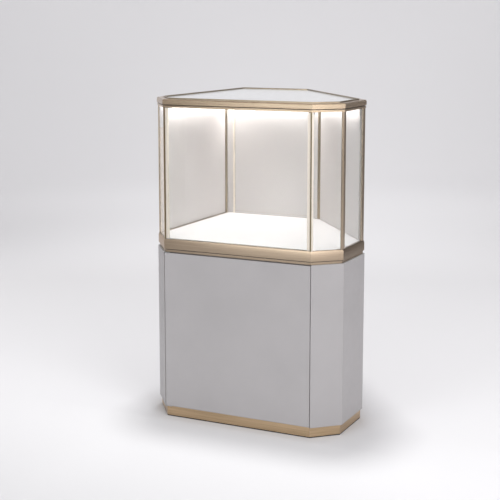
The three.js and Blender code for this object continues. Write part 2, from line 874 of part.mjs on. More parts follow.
function addDisplayDoor(group) {
  const bottom = displayDoorBottomLevel;
  const top = displayDoorTopLevel;
  addPiece(group, "display_door_stile_left", prism(stileOutline(stileLeftX, 1), bottom, top), "gold");
  addPiece(group, "display_door_stile_right", prism(stileOutline(stileRightX, -1), bottom, top), "gold");
  const pane = rectangle(
    stileLeftX + stileWidth - stileGrip,
    doorPaneY,
    stileRightX - stileWidth + stileGrip,
    doorPaneY + paneThickness,
  );
  addPiece(group, "display_door_pane", prism(pane, bottom, top), "pane");
  addPiece(group, "display_door_bush_lower", displayBush(false), "whitePlastic");
  addPiece(group, "display_door_bush_upper", displayBush(true), "whitePlastic");
}

function displayPivotPlate(upper) {
  const x0 = stileLeftX;
  const y0 = stileFrontY + displayPivotPlateInset;
  const outline = rectangle(x0, y0, x0 + displayPivotPlateLength, y0 + displayPivotPlateDepth);
  const bottom = upper ? displayTopLevel - displayPivotPlateThickness : displayBottomLevel;
  return prism(outline, bottom, bottom + displayPivotPlateThickness);
}

function addDisplayPivots(group) {
  const half = displayPivotPlateThickness / 2;
  const lowerPinTop = displayDoorBottomLevel + displayPivotPinLength;
  const lowerPin = uprightPin(displayPivot, displayPivotRadius, displayBottomLevel + half, lowerPinTop);
  addPiece(group, "display_pivot_lower", join([displayPivotPlate(false), lowerPin]), "steel");
  const upperPinBottom = displayDoorTopLevel - displayPivotPinLength;
  const upperPin = uprightPin(displayPivot, displayPivotRadius, upperPinBottom, displayTopLevel - half);
  addPiece(group, "display_pivot_upper", join([displayPivotPlate(true), upperPin]), "steel");
}

// Push latch of the display door, under the top frame
function addDisplayLatch(group) {
  const x = stileRightX - displayLatchWidth / 2;
  const z = displayTopLevel - displayLatchHeight / 2;
  const tipY = stileBackY + seatGap;
  const body = latchBody(
    x,
    z,
    displayLatchWidth,
    displayLatchHeight,
    displayLatchLength,
    tipY,
    displayLatchPlungerRadius,
  );
  addPiece(group, "display_latch_body", body, "greyPlastic");
  const plunger = latchPlunger(x, z, tipY, displayLatchPlungerRadius);
  addPiece(group, "display_latch_plunger", plunger, "blackPlastic");
}

// Light runs
function rectangleProfile(inner, outer, bottom, top) {
  return [
    [inner, bottom],
    [outer, bottom],
    [outer, top],
    [inner, top],
  ];
}

const channelTopLevel = topFrameLevel + channelHeight;

function channelProfile(near) {
  const far = near + channelWidth;
  return [
    [near, topFrameLevel],
    [near + channelWall, topFrameLevel],
    [near + channelWall, channelTopLevel - channelWall],
    [far - channelWall, channelTopLevel - channelWall],
    [far - channelWall, topFrameLevel],
    [far, topFrameLevel],
    [far, channelTopLevel],
    [near, channelTopLevel],
  ];
}

function diffuserProfile(near) {
  const side = channelWall + seatGap;
  const bottom = topFrameLevel + diffuserRecess;
  return rectangleProfile(near + side, near + channelWidth - side, bottom, bottom + diffuserThickness);
}

function lightTapeProfile(near) {
  const side = channelWall + seatGap;
  const top = channelTopLevel - channelWall - seatGap;
  return rectangleProfile(near + side, near + channelWidth - side, top - lightTapeThickness, top);
}

function recessProfile(near) {
  const far = near + channelWidth + seatGap;
  return rectangleProfile(near - seatGap, far, topFrameLevel - cutOverrun, channelTopLevel + seatGap);
}

function wallLightRun(profile, margin) {
  const lines = [
    edgeLine(diagonalIndex, diagonalFaceInset),
    edgeLine(backIndex, bayFaceInset),
    edgeLine(leftSideIndex, leftFaceInset),
  ];
  const startCut = cutAfterPost(diagonalIndex, postLeg + channelEndSetback - margin);
  const endCut = cutBeforePost(leftCornerIndex, postLeg + channelEndSetback - margin);
  return lineRun(profile, lines, startCut, endCut);
}

function frontLightRun(profile, margin) {
  const startCut = cutAfterPost(frontIndex, displayPivotPlateLength + channelEndSetback - margin);
  const endCut = cutBeforePost(rightCornerIndex, displayPivotPlateLength + channelEndSetback - margin);
  return lineRun(profile, [edgeLine(frontIndex, postInset + stileDepth)], startCut, endCut);
}

function addLights(group) {
  const wallNear = channelFromWall;
  const frontNear = frontChannelSetback;
  addPiece(group, "light_channel_walls", wallLightRun(channelProfile(wallNear), 0), "steel");
  addPiece(group, "light_diffuser_walls", wallLightRun(diffuserProfile(wallNear), 0), "light");
  addPiece(group, "light_tape_walls", wallLightRun(lightTapeProfile(wallNear), 0), "whitePlastic");
  addPiece(group, "light_channel_front", frontLightRun(channelProfile(frontNear), 0), "steel");
  addPiece(group, "light_diffuser_front", frontLightRun(diffuserProfile(frontNear), 0), "light");
  addPiece(group, "light_tape_front", frontLightRun(lightTapeProfile(frontNear), 0), "whitePlastic");
}

function lightRecesses() {
  return [
    wallLightRun(recessProfile(channelFromWall), seatGap),
    frontLightRun(recessProfile(frontChannelSetback), seatGap),
  ];
}

// Top frame, bead, panel and the rail over the back wall
function addTop(group) {
  const lipTop = topFrameLevel + topLipHeight;
  const profile = [
    [topLipInset, topFrameLevel],
    [topLipInset, lipTop],
    [topGrooveInset, lipTop],
    [topGrooveInset, topBandLevel],
    [topBandInset, topBandLevel],
    [topBandInset, topBandTopLevel],
    [topBevelInset, topFrameTopLevel],
    [topRimInset, topFrameTopLevel],
    [topRimInset, topPanelLevel - seatGap],
    [topInnerInset, topPanelLevel - seatGap],
    [topInnerInset, topFrameLevel],
  ];
  const frame = cut(outlineRing(profile), [...fixedPanes(seatGap), ...lightRecesses()]);
  addPiece(group, "top_frame", frame, "gold");
  const outline = insetOutline(topRimInset + seatGap);
  addPiece(group, "top_panel", prism(outline, topPanelLevel, topPanelLevel + topPanelThickness), "topBoard");
}

function addGlazingBead(group) {
  const outer = topRimInset - beadWidth / 2;
  const inner = outer + beadWidth;
  const shoulder = overallHeight - beadCrown;
  const profile = [
    [outer, beadLevel],
    [outer, shoulder],
    [outer + beadCrown, overallHeight],
    [inner - beadCrown, overallHeight],
    [inner, shoulder],
    [inner, beadLevel],
  ];
  addPiece(group, "glazing_bead", outlineRing(profile), "darkMetal");
}

function addBackRail(group) {
  const startCut = edgeLine(diagonalIndex, topInnerInset + seatGap);
  const endCut = edgeLine(leftSideIndex, topInnerInset + seatGap);
  const rear = bayDepth - railOverhang;
  const outline = boardOutline(backIndex, rear, rear + railDepth, startCut, endCut);
  const board = prism(outline, topFrameLevel, topPanelLevel - seatGap);
  addPiece(group, "back_rail", cut(board, [...lightRecesses().slice(0, 1), leadHole()]), "wallBoard");
}

// Driver, lead and gland in the rear bay
const driverLeftX = leftX + driverFromLeft;
const driverLevel = deckTopLevel + driverAboveDeck;
const leadPoint = new THREE.Vector2(driverLeftX + driverLength / 2, backY - bayDepth + leadFromWall);

function leadHole() {
  const bottom = topFrameLevel - cutOverrun;
  return uprightPin(leadPoint, leadRadius + seatGap, bottom, topFrameLevel + leadSeat + seatGap);
}

function addDriver(group) {
  const frontFace = backY - bayDepth + seatGap;
  const rearFace = frontFace + driverDepth;
  const outline = [
    new THREE.Vector2(driverLeftX, frontFace),
    new THREE.Vector2(driverLeftX + driverLength, frontFace),
    new THREE.Vector2(driverLeftX + driverLength, rearFace - driverEase),
    new THREE.Vector2(driverLeftX + driverLength - driverEase, rearFace),
    new THREE.Vector2(driverLeftX + driverEase, rearFace),
    new THREE.Vector2(driverLeftX, rearFace - driverEase),
  ];
  const top = driverLevel + driverHeight;
  addPiece(group, "light_driver", prism(outline, driverLevel, top), "whitePlastic");
  const lead = uprightPin(leadPoint, leadRadius, top + seatGap, topFrameLevel + leadSeat);
  addPiece(group, "light_lead", lead, "whitePlastic");
}

const glandX = leftX + glandFromLeft;
const glandLevel = deckTopLevel + glandAboveDeck;

function glandHole() {
  const front = backY - rearFaceInset - cutOverrun;
  return levelPin(glandX, glandLevel, glandRadius + seatGap, front, backY - postInset + cutOverrun);
}

function addGland(group) {
  const panelFront = -rearFaceInset - seatGap;
  const panelBack = -postInset + seatGap;
  const flangeBack = panelBack + glandFlangeThickness;
  const outline = [
    new THREE.Vector2(glandBoreRadius, panelFront - glandNutThickness),
    new THREE.Vector2(glandNutRadius, panelFront - glandNutThickness),
    new THREE.Vector2(glandNutRadius, panelFront),
    new THREE.Vector2(glandRadius, panelFront),
    new THREE.Vector2(glandRadius, panelBack),
    new THREE.Vector2(glandFlangeRadius, panelBack),
    new THREE.Vector2(glandFlangeRadius, flangeBack - glandFlangeEase),
    new THREE.Vector2(glandFlangeRadius - glandFlangeEase, flangeBack),
    new THREE.Vector2(glandBoreRadius, flangeBack),
    new THREE.Vector2(glandBoreRadius, panelFront - glandNutThickness),
  ];
  const geometry = bareMesh(new THREE.LatheGeometry(outline, glandFacets));
  geometry.translate(glandX, backY, glandLevel);
  geometry.computeVertexNormals();
  addPiece(group, "cable_gland", geometry, "blackPlastic");
}

// Assembly
const base = subassembly("base");
addPlinth(base);
addBasePanels(base);
addBaseBoards(base);
addBaseShelf(base);
addShelfRails(base);
addBasePivots(base);
addBaseDoor(base);
addBaseLatch(base);

const display = subassembly("display");
addDeck(display);
addPosts(display);
addOuterWalls(display);
addBackWall(display);
addBackWallTrim(display);
addCornerBeads(display);
addFixedPanes(display);
addDisplayPivots(display);
addDisplayDoor(display);
addDisplayLatch(display);

const top = subassembly("top");
addTop(top);
addGlazingBead(top);
addBackRail(top);
addLights(top);
addDriver(top);
addGland(top);

export default cabinet;
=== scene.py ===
from math import cos, pi, radians, sin

import bmesh
import bpy
from mathutils import Matrix, Vector


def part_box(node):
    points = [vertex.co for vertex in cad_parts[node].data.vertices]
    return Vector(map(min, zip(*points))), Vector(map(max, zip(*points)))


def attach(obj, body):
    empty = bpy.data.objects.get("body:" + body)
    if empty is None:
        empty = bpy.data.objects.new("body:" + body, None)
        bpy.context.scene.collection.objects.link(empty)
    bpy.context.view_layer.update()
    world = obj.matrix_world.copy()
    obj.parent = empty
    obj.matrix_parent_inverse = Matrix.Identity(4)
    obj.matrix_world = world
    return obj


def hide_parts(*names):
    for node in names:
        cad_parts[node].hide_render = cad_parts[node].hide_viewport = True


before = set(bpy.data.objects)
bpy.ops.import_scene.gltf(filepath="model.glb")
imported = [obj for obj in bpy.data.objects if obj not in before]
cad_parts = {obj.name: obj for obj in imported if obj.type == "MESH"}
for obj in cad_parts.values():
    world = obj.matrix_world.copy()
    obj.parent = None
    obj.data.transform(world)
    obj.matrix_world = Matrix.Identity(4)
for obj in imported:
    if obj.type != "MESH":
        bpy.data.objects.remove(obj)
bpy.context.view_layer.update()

# The plinth: folded sheet, anodised in a bronze tone and brushed along its length. Seven bars
# meet on mitres, with a hairline left at each corner. A thin strip under them, set back a little,
# stands flat on the floor; its near-black colour is partly real recess and partly painted shade.
PLAN = [
    Vector((-0.4185, -0.322)),
    Vector((-0.3185, -0.450)),
    Vector((0.3215, -0.450)),
    Vector((0.4185, -0.358)),
    Vector((0.4185, -0.130)),
    Vector((-0.0505, 0.450)),
    Vector((-0.4185, 0.450)),
]
SIDES = ["left_corner", "front", "right_corner", "right_side", "diagonal", "back", "left_side"]
MITRE_HAIRLINE = 0.00012
METAL_EASE = 0.0005
GROOVE_MARGIN = 0.0001
GROOVE_REACH = 0.02
RING_REACH = 0.12
WELD_DISTANCE = 1e-6
FLAT_TURN = radians(0.3)
SHARP_TURN = radians(25)
SMOOTH_TURN = radians(48)
END_FACING = 0.9


def linear(red, green, blue):
    """A colour read as screen values from 0 to 255, as the linear colour that a shader takes."""
    parts = []
    for value in (red / 255, green / 255, blue / 255):
        parts.append(value / 12.92 if value <= 0.04045 else ((value + 0.055) / 1.055) ** 2.4)
    return (*parts, 1.0)


def side_direction(side):
    """The way along a side of the plan, with the inside of the cabinet on its left."""
    return (PLAN[(side + 1) % 7] - PLAN[side]).normalized()


def shape_of(node):
    """The solid of a node, its triangles joined back into flat faces."""
    shape = bmesh.new()
    shape.from_mesh(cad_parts[node].data)
    bmesh.ops.remove_doubles(shape, verts=shape.verts, dist=WELD_DISTANCE)
    bmesh.ops.dissolve_limit(
        shape, angle_limit=FLAT_TURN, verts=shape.verts[:], edges=shape.edges[:], delimit={"NORMAL"}
    )
    return shape


def ease(shape, width, segments=2):
    """Rounds every sharp edge, and marks the faces that this makes as rubbed."""
    rubbed = shape.faces.layers.float.new("rubbed")
    sharp = [e for e in shape.edges if len(e.link_faces) == 2 and e.calc_face_angle(0) > SHARP_TURN]
    rounded = bmesh.ops.bevel(
        shape,
        geom=sharp,
        offset=width,
        offset_type="OFFSET",
        segments=segments,
        profile=0.5,
        affect="EDGES",
        clamp_overlap=True,
        harden_normals=False,
    )
    for face in rounded["faces"]:
        face[rubbed] = 1.0


def lay_grain(mesh, along):
    """Writes a UV map in metres, with u along the given direction and v across it on each face."""
    along = Vector(along).normalized()
    layer = mesh.uv_layers.new(name="grain")
    for face in mesh.polygons:
        u_axis = along
        if abs(face.normal.dot(along)) > END_FACING:
            u_axis = along.orthogonal().normalized()
        v_axis = face.normal.cross(u_axis).normalized()
        for loop in face.loop_indices:
            place = mesh.vertices[mesh.loops[loop].vertex_index].co
            layer.data[loop].uv = (place.dot(u_axis), place.dot(v_axis))


def hold_flats(mesh):
    """Keeps flat faces flat in the light, so that the normal turns only across the rounded edges."""
    rounded = [value.value > 0.5 for value in mesh.attributes["rubbed"].data]
    flats = {}
    for face in mesh.polygons:
        if not rounded[face.index]:
            for vertex in face.vertices:
                flats.setdefault(vertex, []).append(face.normal)
    normals = [None] * len(mesh.loops)
    for face in mesh.polygons:
        for loop in face.loop_indices:
            vertex = mesh.loops[loop].vertex_index
            near = [n for n in flats.get(vertex, []) if n.dot(face.normal) > cos(SMOOTH_TURN)]
            if near:
                normals[loop] = sum(near, Vector()).normalized()
            elif rounded[face.index]:
                normals[loop] = mesh.vertices[vertex].normal.copy()
            else:
                normals[loop] = face.normal.copy()
    mesh.normals_split_custom_set(normals)


def make_piece(name, shape, materials, body, stands_for=(), grain=None, choose=None):
    """Turns a shape into a named piece that rides on a body and stands for its CAD nodes."""
    mesh = bpy.data.meshes.new(name)
    shape.normal_update()
    shape.to_mesh(mesh)
    shape.free()
    mesh.shade_smooth()
    mesh.set_sharp_from_angle(angle=SMOOTH_TURN)
    if "rubbed" in mesh.attributes:
        hold_flats(mesh)
    for material in materials:
        mesh.materials.append(material)
    if choose:
        for face in mesh.polygons:
            face.material_index = choose(face)
    if grain:
        lay_grain(mesh, grain)
    piece = bpy.data.objects.new(name, mesh)
    bpy.context.scene.collection.objects.link(piece)
    if stands_for:
        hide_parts(*stands_for)
    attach(piece, body)
    return piece


def mitred_bar(node, side):
    """The part of a ring along one side of the plan, cut on the mitres at both of its ends."""
    shape = shape_of(node)
    before, after = side_direction((side + 6) % 7), side_direction((side + 1) % 7)
    here = side_direction(side)
    start_cut, end_cut = (here - before).normalized(), (after - here).normalized()
    for corner, cut, keep in ((PLAN[side], start_cut, 1), (PLAN[(side + 1) % 7], end_cut, -1)):
        normal = Vector((cut.y, -cut.x, 0)) * keep
        place = Vector((*corner, 0)) + normal * MITRE_HAIRLINE
        ends = bmesh.ops.bisect_plane(
            shape,
            geom=shape.verts[:] + shape.edges[:] + shape.faces[:],
            plane_co=place,
            plane_no=normal,
            clear_inner=True,
        )
        edges = [e for e in ends["geom_cut"] if isinstance(e, bmesh.types.BMEdge)]
        bmesh.ops.holes_fill(shape, edges=edges)
    middle = Vector((*((PLAN[side] + PLAN[(side + 1) % 7]) / 2), 0))
    inward = Vector((-here.y, here.x, 0))
    far = [v for v in shape.verts if (v.co - middle).dot(inward) > RING_REACH]
    bmesh.ops.delete(shape, geom=far, context="VERTS")
    bmesh.ops.recalc_face_normals(shape, faces=shape.faces)
    return shape


def in_groove(side, levels):
    """Picks the second material, the groove's painted shade, for the faces inside a shadow groove that runs
    round the outline.
    """
    outward = Vector((side_direction(side).y, -side_direction(side).x, 0))
    edge = Vector((*PLAN[side], 0))
    low, high = levels[0] - GROOVE_MARGIN, levels[1] + GROOVE_MARGIN

    def pick(face):
        inset = (edge - face.center).dot(outward)
        return 1 if low < face.center.z < high and inset < GROOVE_REACH else 0

    return pick


def make_bars(node, materials, width, groove=None):
    """Makes a mitred ring out of one eased bar for each side, brushed along the side, with the groove's
    faces in painted shade where groove levels are given.
    """
    for side, side_name in enumerate(SIDES):
        shape = mitred_bar(node, side)
        ease(shape, width)
        direction = (*side_direction(side), 0)
        choose = in_groove(side, groove) if groove else None
        make_piece(f"{node}_{side_name}", shape, materials, "cabinet", [node], direction, choose)


def new_group(name, inputs, outputs):
    """A shader node group with named inputs (name, kind, value) and outputs (name, kind)."""
    tree = bpy.data.node_groups.new(name, "ShaderNodeTree")
    for label, kind, value in inputs:
        socket = tree.interface.new_socket(label, in_out="INPUT", socket_type=kind)
        if value is not None:
            socket.default_value = value
    for label, kind in outputs:
        tree.interface.new_socket(label, in_out="OUTPUT", socket_type=kind)
    return tree, tree.nodes.new("NodeGroupInput"), tree.nodes.new("NodeGroupOutput")


def node_in(tree, kind, values=None, **settings):
    """Adds a node to a tree, with its settings and the values of its sockets."""
    node = tree.nodes.new(kind)
    for key, value in settings.items():
        setattr(node, key, value)
    for key, value in (values or {}).items():
        node.inputs[key].default_value = value
    return node


def brushed_grain_group():
    """Fine lines along u, as a streak mask and a height, with a slow drift of tone along the bar."""
    floats = "NodeSocketFloat"
    tree, given, result = new_group(
        "brushed_grain",
        [
            ("Lines per metre", floats, 1800.0),
            ("Stretch", floats, 0.012),
            ("Drift", floats, 0.3),
            ("Coarse share", floats, 0.11),
        ],
        [("Streak", floats), ("Tone", floats), ("Height", floats)],
    )
    place = node_in(tree, "ShaderNodeTexCoord")
    squeeze = node_in(tree, "ShaderNodeCombineXYZ", {"Y": 1.0, "Z": 1.0})
    stretched = node_in(tree, "ShaderNodeVectorMath", operation="MULTIPLY")
    fine = node_in(tree, "ShaderNodeTexNoise", {"Detail": 3.0, "Roughness": 0.6}, noise_dimensions="2D")
    coarse = node_in(tree, "ShaderNodeTexNoise", {"Detail": 2.0, "Roughness": 0.7}, noise_dimensions="2D")
    coarser = node_in(tree, "ShaderNodeMath", operation="MULTIPLY")
    streaks = node_in(tree, "ShaderNodeMix", {"Factor": 0.55}, data_type="FLOAT")
    broad = node_in(tree, "ShaderNodeTexNoise", {"Scale": 2.5, "Detail": 1.0})
    mixed = node_in(tree, "ShaderNodeMix", data_type="FLOAT")
    link = tree.links.new
    link(given.outputs["Stretch"], squeeze.inputs["X"])
    link(place.outputs["UV"], stretched.inputs[0])
    link(squeeze.outputs["Vector"], stretched.inputs[1])
    link(stretched.outputs["Vector"], fine.inputs["Vector"])
    link(stretched.outputs["Vector"], coarse.inputs["Vector"])
    link(given.outputs["Lines per metre"], fine.inputs["Scale"])
    link(given.outputs["Lines per metre"], coarser.inputs[0])
    link(given.outputs["Coarse share"], coarser.inputs[1])
    link(coarser.outputs["Value"], coarse.inputs["Scale"])
    link(fine.outputs["Fac"], streaks.inputs["A"])
    link(coarse.outputs["Fac"], streaks.inputs["B"])
    link(place.outputs["Object"], broad.inputs["Vector"])
    link(given.outputs["Drift"], mixed.inputs["Factor"])
    link(streaks.outputs["Result"], mixed.inputs["A"])
    link(broad.outputs["Fac"], mixed.inputs["B"])
    link(streaks.outputs["Result"], result.inputs["Streak"])
    link(mixed.outputs["Result"], result.inputs["Tone"])
    link(fine.outputs["Fac"], result.inputs["Height"])
    return tree


def edge_rub_group():
    """A mask over the rounded edges, broken up by noise as handling wears them."""
    floats = "NodeSocketFloat"
    tree, given, result = new_group("edge_rub", [("Patches per metre", floats, 90.0)], [("Rub", floats)])
    rounded = node_in(tree, "ShaderNodeAttribute", attribute_name="rubbed")
    place = node_in(tree, "ShaderNodeTexCoord")
    noise = node_in(tree, "ShaderNodeTexNoise", {"Detail": 4.0})
    times = node_in(tree, "ShaderNodeMath", operation="MULTIPLY")
    link = tree.links.new
    link(place.outputs["Object"], noise.inputs["Vector"])
    link(given.outputs["Patches per metre"], noise.inputs["Scale"])
    link(rounded.outputs["Fac"], times.inputs[0])
    link(noise.outputs["Fac"], times.inputs[1])
    link(times.outputs["Value"], result.inputs["Rub"])
    return tree


BRUSHED_GRAIN = brushed_grain_group()
EDGE_RUB = edge_rub_group()


def start_material(name):
    """A new material, with its node tree and its Principled shader."""
    material = bpy.data.materials.new(name)
    material.use_nodes = True
    tree = material.node_tree
    return material, tree, tree.nodes["Principled BSDF"]


def place_group(tree, group, values):
    """Adds a shared effect to a material's tree."""
    return node_in(tree, "ShaderNodeGroup", values, node_tree=group)


def ramp_between(tree, source, low, high, start=0.3, end=0.7):
    """Turns a mask into a colour between two, which it reaches at start and end."""
    ramp = node_in(tree, "ShaderNodeValToRGB")
    ramp.color_ramp.elements[0].position, ramp.color_ramp.elements[0].color = start, low
    ramp.color_ramp.elements[1].position, ramp.color_ramp.elements[1].color = end, high
    tree.links.new(source, ramp.inputs["Fac"])
    return ramp.outputs["Color"]


def range_between(tree, source, low, high):
    """Turns a mask into a number between two, with noise's middle half spread over the range."""
    limits = {"From Min": 0.25, "From Max": 0.75, "To Min": low, "To Max": high}
    span = node_in(tree, "ShaderNodeMapRange", limits)
    tree.links.new(source, span.inputs["Value"])
    return span.outputs["Result"]


def bumped(tree, shader, height, distance, strength=0.5):
    """Feeds a height, in metres at its most, to a shader's normal."""
    bump = node_in(tree, "ShaderNodeBump", {"Distance": distance, "Strength": strength})
    tree.links.new(height, bump.inputs["Height"])
    tree.links.new(bump.outputs["Normal"], shader.inputs["Normal"])


def brushed_metal(name, dark, light, rub, smooth, rough, lines=1800.0, spread=0.7, metallic=1.0):
    """Anodised metal, brushed along u: streaks in tone, roughness and height, edges rubbed lighter."""
    material, tree, shader = start_material(name)
    grain = place_group(tree, BRUSHED_GRAIN, {"Lines per metre": lines})
    edges = place_group(tree, EDGE_RUB, {"Patches per metre": 90.0})
    colour = ramp_between(tree, grain.outputs["Tone"], dark, light)
    worn = node_in(tree, "ShaderNodeMix", data_type="RGBA")
    worn.inputs["B"].default_value = rub
    tree.links.new(edges.outputs["Rub"], worn.inputs["Factor"])
    tree.links.new(colour, worn.inputs["A"])
    tree.links.new(worn.outputs["Result"], shader.inputs["Base Color"])
    tree.links.new(range_between(tree, grain.outputs["Streak"], smooth, rough), shader.inputs["Roughness"])
    shader.inputs["Metallic"].default_value = metallic
    shader.inputs["Anisotropic"].default_value = spread
    shader.inputs["Anisotropic Rotation"].default_value = 0.25
    along = node_in(tree, "ShaderNodeTangent", direction_type="UV_MAP", uv_map="grain")
    tree.links.new(along.outputs["Tangent"], shader.inputs["Tangent"])
    bumped(tree, shader, grain.outputs["Height"], distance=0.00003)
    return material


def cut_level(shape, height, keep):
    """Cuts a shape level at a height, keeps what is above (1) or below (-1), and closes the cut."""
    ends = bmesh.ops.bisect_plane(
        shape,
        geom=shape.verts[:] + shape.edges[:] + shape.faces[:],
        plane_co=(0, 0, height),
        plane_no=(0, 0, keep),
        clear_inner=True,
    )
    edges = [e for e in ends["geom_cut"] if isinstance(e, bmesh.types.BMEdge)]
    bmesh.ops.holes_fill(shape, edges=edges)
    bmesh.ops.recalc_face_normals(shape, faces=shape.faces)


def soft_rubber(name, dark, light):
    """Matt rubber with a fine grain and dust caught in it; dark here as painted shade under the plinth."""
    material, tree, shader = start_material(name)
    place = node_in(tree, "ShaderNodeTexCoord")
    dust = node_in(tree, "ShaderNodeTexNoise", {"Scale": 220.0, "Detail": 5.0})
    tree.links.new(place.outputs["Object"], dust.inputs["Vector"])
    tree.links.new(ramp_between(tree, dust.outputs["Fac"], dark, light), shader.inputs["Base Color"])
    tree.links.new(range_between(tree, dust.outputs["Fac"], low=0.7, high=0.85), shader.inputs["Roughness"])
    bumped(tree, shader, dust.outputs["Fac"], distance=0.00005)
    return material


BRONZE = brushed_metal(
    "bronze_anodised",
    dark=linear(168, 144, 114),
    light=linear(214, 187, 153),
    rub=linear(234, 212, 184),
    smooth=0.26,
    rough=0.36,
)
# The strip's near-black colour is painted shade along the line where the plinth meets the floor.
BLACK_RUBBER_PAINTED_SHADE = soft_rubber("black_rubber_painted_shade", dark=linear(24, 22, 20), light=linear(38, 35, 32))
STRIP_HEIGHT = 0.0042
STRIP_INSET = 0.0016
STRIP_GAP = 0.0001
for side, side_name in enumerate(SIDES):
    direction = side_direction(side)
    shape = mitred_bar("plinth", side)
    cut_level(shape, STRIP_HEIGHT, 1)
    ease(shape, METAL_EASE)
    grain = (*direction, 0)
    make_piece(f"plinth_{side_name}", shape, [BRONZE], "cabinet", ["plinth"], grain)
    shape = mitred_bar("plinth", side)
    cut_level(shape, STRIP_HEIGHT - STRIP_GAP, -1)
    inward = Vector((-direction.y, direction.x, 0))
    bmesh.ops.translate(shape, vec=inward * STRIP_INSET, verts=shape.verts)
    make_piece(f"plinth_shade_strip_{side_name}", shape, [BLACK_RUBBER_PAINTED_SHADE], "cabinet", ["plinth"])

# The base carcass: 18 mm board, sprayed outside with warm grey satin lacquer and faced inside
# with pale melamine. The boards meet on mitres, screwed and glued from inside.
BOARD_EASE = 0.0008
OUTWARD_FACING = 0.25
BASE_PANELS = {
    "left_corner": "base_left_corner_panel",
    "right_corner": "base_right_corner_panel",
    "right_side": "base_right_panel",
    "diagonal": "base_diagonal_panel",
    "back": "base_back_panel",
    "left_side": "base_left_panel",
}


def satin_skin_group():
    """Sprayed lacquer: faint mottle in the tone, uneven sheen and the ripple that the spray leaves."""
    floats = "NodeSocketFloat"
    tree, given, result = new_group(
        "satin_skin",
        [("Ripple per metre", floats, 420.0), ("Cloud per metre", floats, 5.0)],
        [("Cloud", floats), ("Sheen", floats), ("Height", floats)],
    )
    place = node_in(tree, "ShaderNodeTexCoord")
    cloud = node_in(tree, "ShaderNodeTexNoise", {"Detail": 3.0, "Roughness": 0.55})
    sheen = node_in(tree, "ShaderNodeTexNoise", {"Scale": 38.0, "Detail": 4.0})
    ripple = node_in(tree, "ShaderNodeTexNoise", {"Detail": 1.5})
    link = tree.links.new
    for texture in (cloud, sheen, ripple):
        link(place.outputs["Object"], texture.inputs["Vector"])
    link(given.outputs["Cloud per metre"], cloud.inputs["Scale"])
    link(given.outputs["Ripple per metre"], ripple.inputs["Scale"])
    link(cloud.outputs["Fac"], result.inputs["Cloud"])
    link(sheen.outputs["Fac"], result.inputs["Sheen"])
    link(ripple.outputs["Fac"], result.inputs["Height"])
    return tree


SATIN_SKIN = satin_skin_group()


def sprayed_board(name, dark, light, smooth, rough, coat=0.0, cloud=5.0, ripple=420.0, depth=0.00004):
    """Lacquered or faced board: clouds in the tone, an uneven sheen and a fine ripple."""
    material, tree, shader = start_material(name)
    skin = place_group(tree, SATIN_SKIN, {"Ripple per metre": ripple, "Cloud per metre": cloud})
    colour = ramp_between(tree, skin.outputs["Cloud"], dark, light)
    tree.links.new(colour, shader.inputs["Base Color"])
    tree.links.new(range_between(tree, skin.outputs["Sheen"], smooth, rough), shader.inputs["Roughness"])
    shader.inputs["Coat Weight"].default_value = coat
    shader.inputs["Coat Roughness"].default_value = 0.12
    bumped(tree, shader, skin.outputs["Height"], distance=depth, strength=0.35)
    return material


def dress(name, node, materials, width, body="cabinet", grain=None, choose=None, segments=2):
    """Makes the piece that stands for one CAD node, with its sharp edges eased by a width."""
    shape = shape_of(node)
    ease(shape, width, segments)
    make_piece(name, shape, materials, body, [node], grain, choose)


def faces_outward(direction):
    """Picks the lacquer for faces that look outward and their eased edges, else the melamine."""
    outward = Vector((direction.y, -direction.x, 0))
    return lambda face: 0 if face.normal.dot(outward) > OUTWARD_FACING else 1


BASE_LACQUER = sprayed_board(
    "base_lacquer", dark=linear(168, 165, 166), light=linear(173, 170, 171), smooth=0.4, rough=0.5
)
INNER_MELAMINE = sprayed_board(
    "inner_melamine",
    dark=linear(196, 194, 191),
    light=linear(204, 202, 199),
    smooth=0.5,
    rough=0.62,
    ripple=1500.0,
    depth=0.00002,
)
BOARD_FACES = [BASE_LACQUER, INNER_MELAMINE]
for side_name, node in BASE_PANELS.items():
    choose = faces_outward(side_direction(SIDES.index(side_name)))
    dress(f"{node}_board", node, BOARD_FACES, BOARD_EASE, choose=choose)

# Floor, top board and shelf of the base: melamine-faced board with a banded front edge. The floor
# and the top board tie the panels together, and the shelf lies loose on its two rails.
INNER_EASE = 0.0006
FLAT_FACING = 0.7
EDGE_BAND = sprayed_board(
    "edge_band",
    dark=linear(186, 183, 181),
    light=linear(194, 191, 189),
    smooth=0.35,
    rough=0.45,
    cloud=30.0,
)
for node in ("base_floor", "base_top", "base_shelf"):
    dress(
        f"{node}_board",
        node,
        [INNER_MELAMINE, EDGE_BAND],
        INNER_EASE,
        choose=lambda face: 1 if face.normal.y < -FLAT_FACING else 0,
    )

# Shelf rails: folded steel angle, screwed to the left panel and to the slanted one with
# pan-head screws. The shelf drops in between the panels and rests on the rails.
STEEL_EASE = 0.0003
RAIL_SIDES = {"left": 6, "diagonal": 4}
RAIL_RUNS = {"left": 0.772, "diagonal": 0.746}
RAIL_SCREW_SHARES = (0.15, 0.38, 0.62, 0.85)
RAIL_SCREW_INSET = 0.0203
RAIL_SCREW_LEVEL = 0.3505
RAIL_SCREW_RADIUS = 0.0034
CROSS_HALF_WIDTH = 0.24
CROSS_WAIST_SHARE = 0.36
SCREW_SEAT = 0.00005
SCREW_RISE_SHARE = 0.42
# Shares of the head's radius and of its rise, from the rim to the bottom of the recess.
SCREW_HEAD = (
    (1.0, 0.35, "round"),
    (0.9, 0.75, "round"),
    (0.72, 1.0, "round"),
    (0.56, 1.0, "cross"),
    (0.42, 0.25, "cross"),
)
STEEL = brushed_metal(
    "plain_steel",
    dark=linear(150, 152, 154),
    light=linear(190, 192, 194),
    rub=linear(214, 216, 218),
    smooth=0.28,
    rough=0.42,
)
SCREW_STEEL = brushed_metal(
    "screw_steel",
    dark=linear(160, 160, 158),
    light=linear(196, 196, 192),
    rub=linear(224, 224, 220),
    smooth=0.22,
    rough=0.34,
    lines=600.0,
)


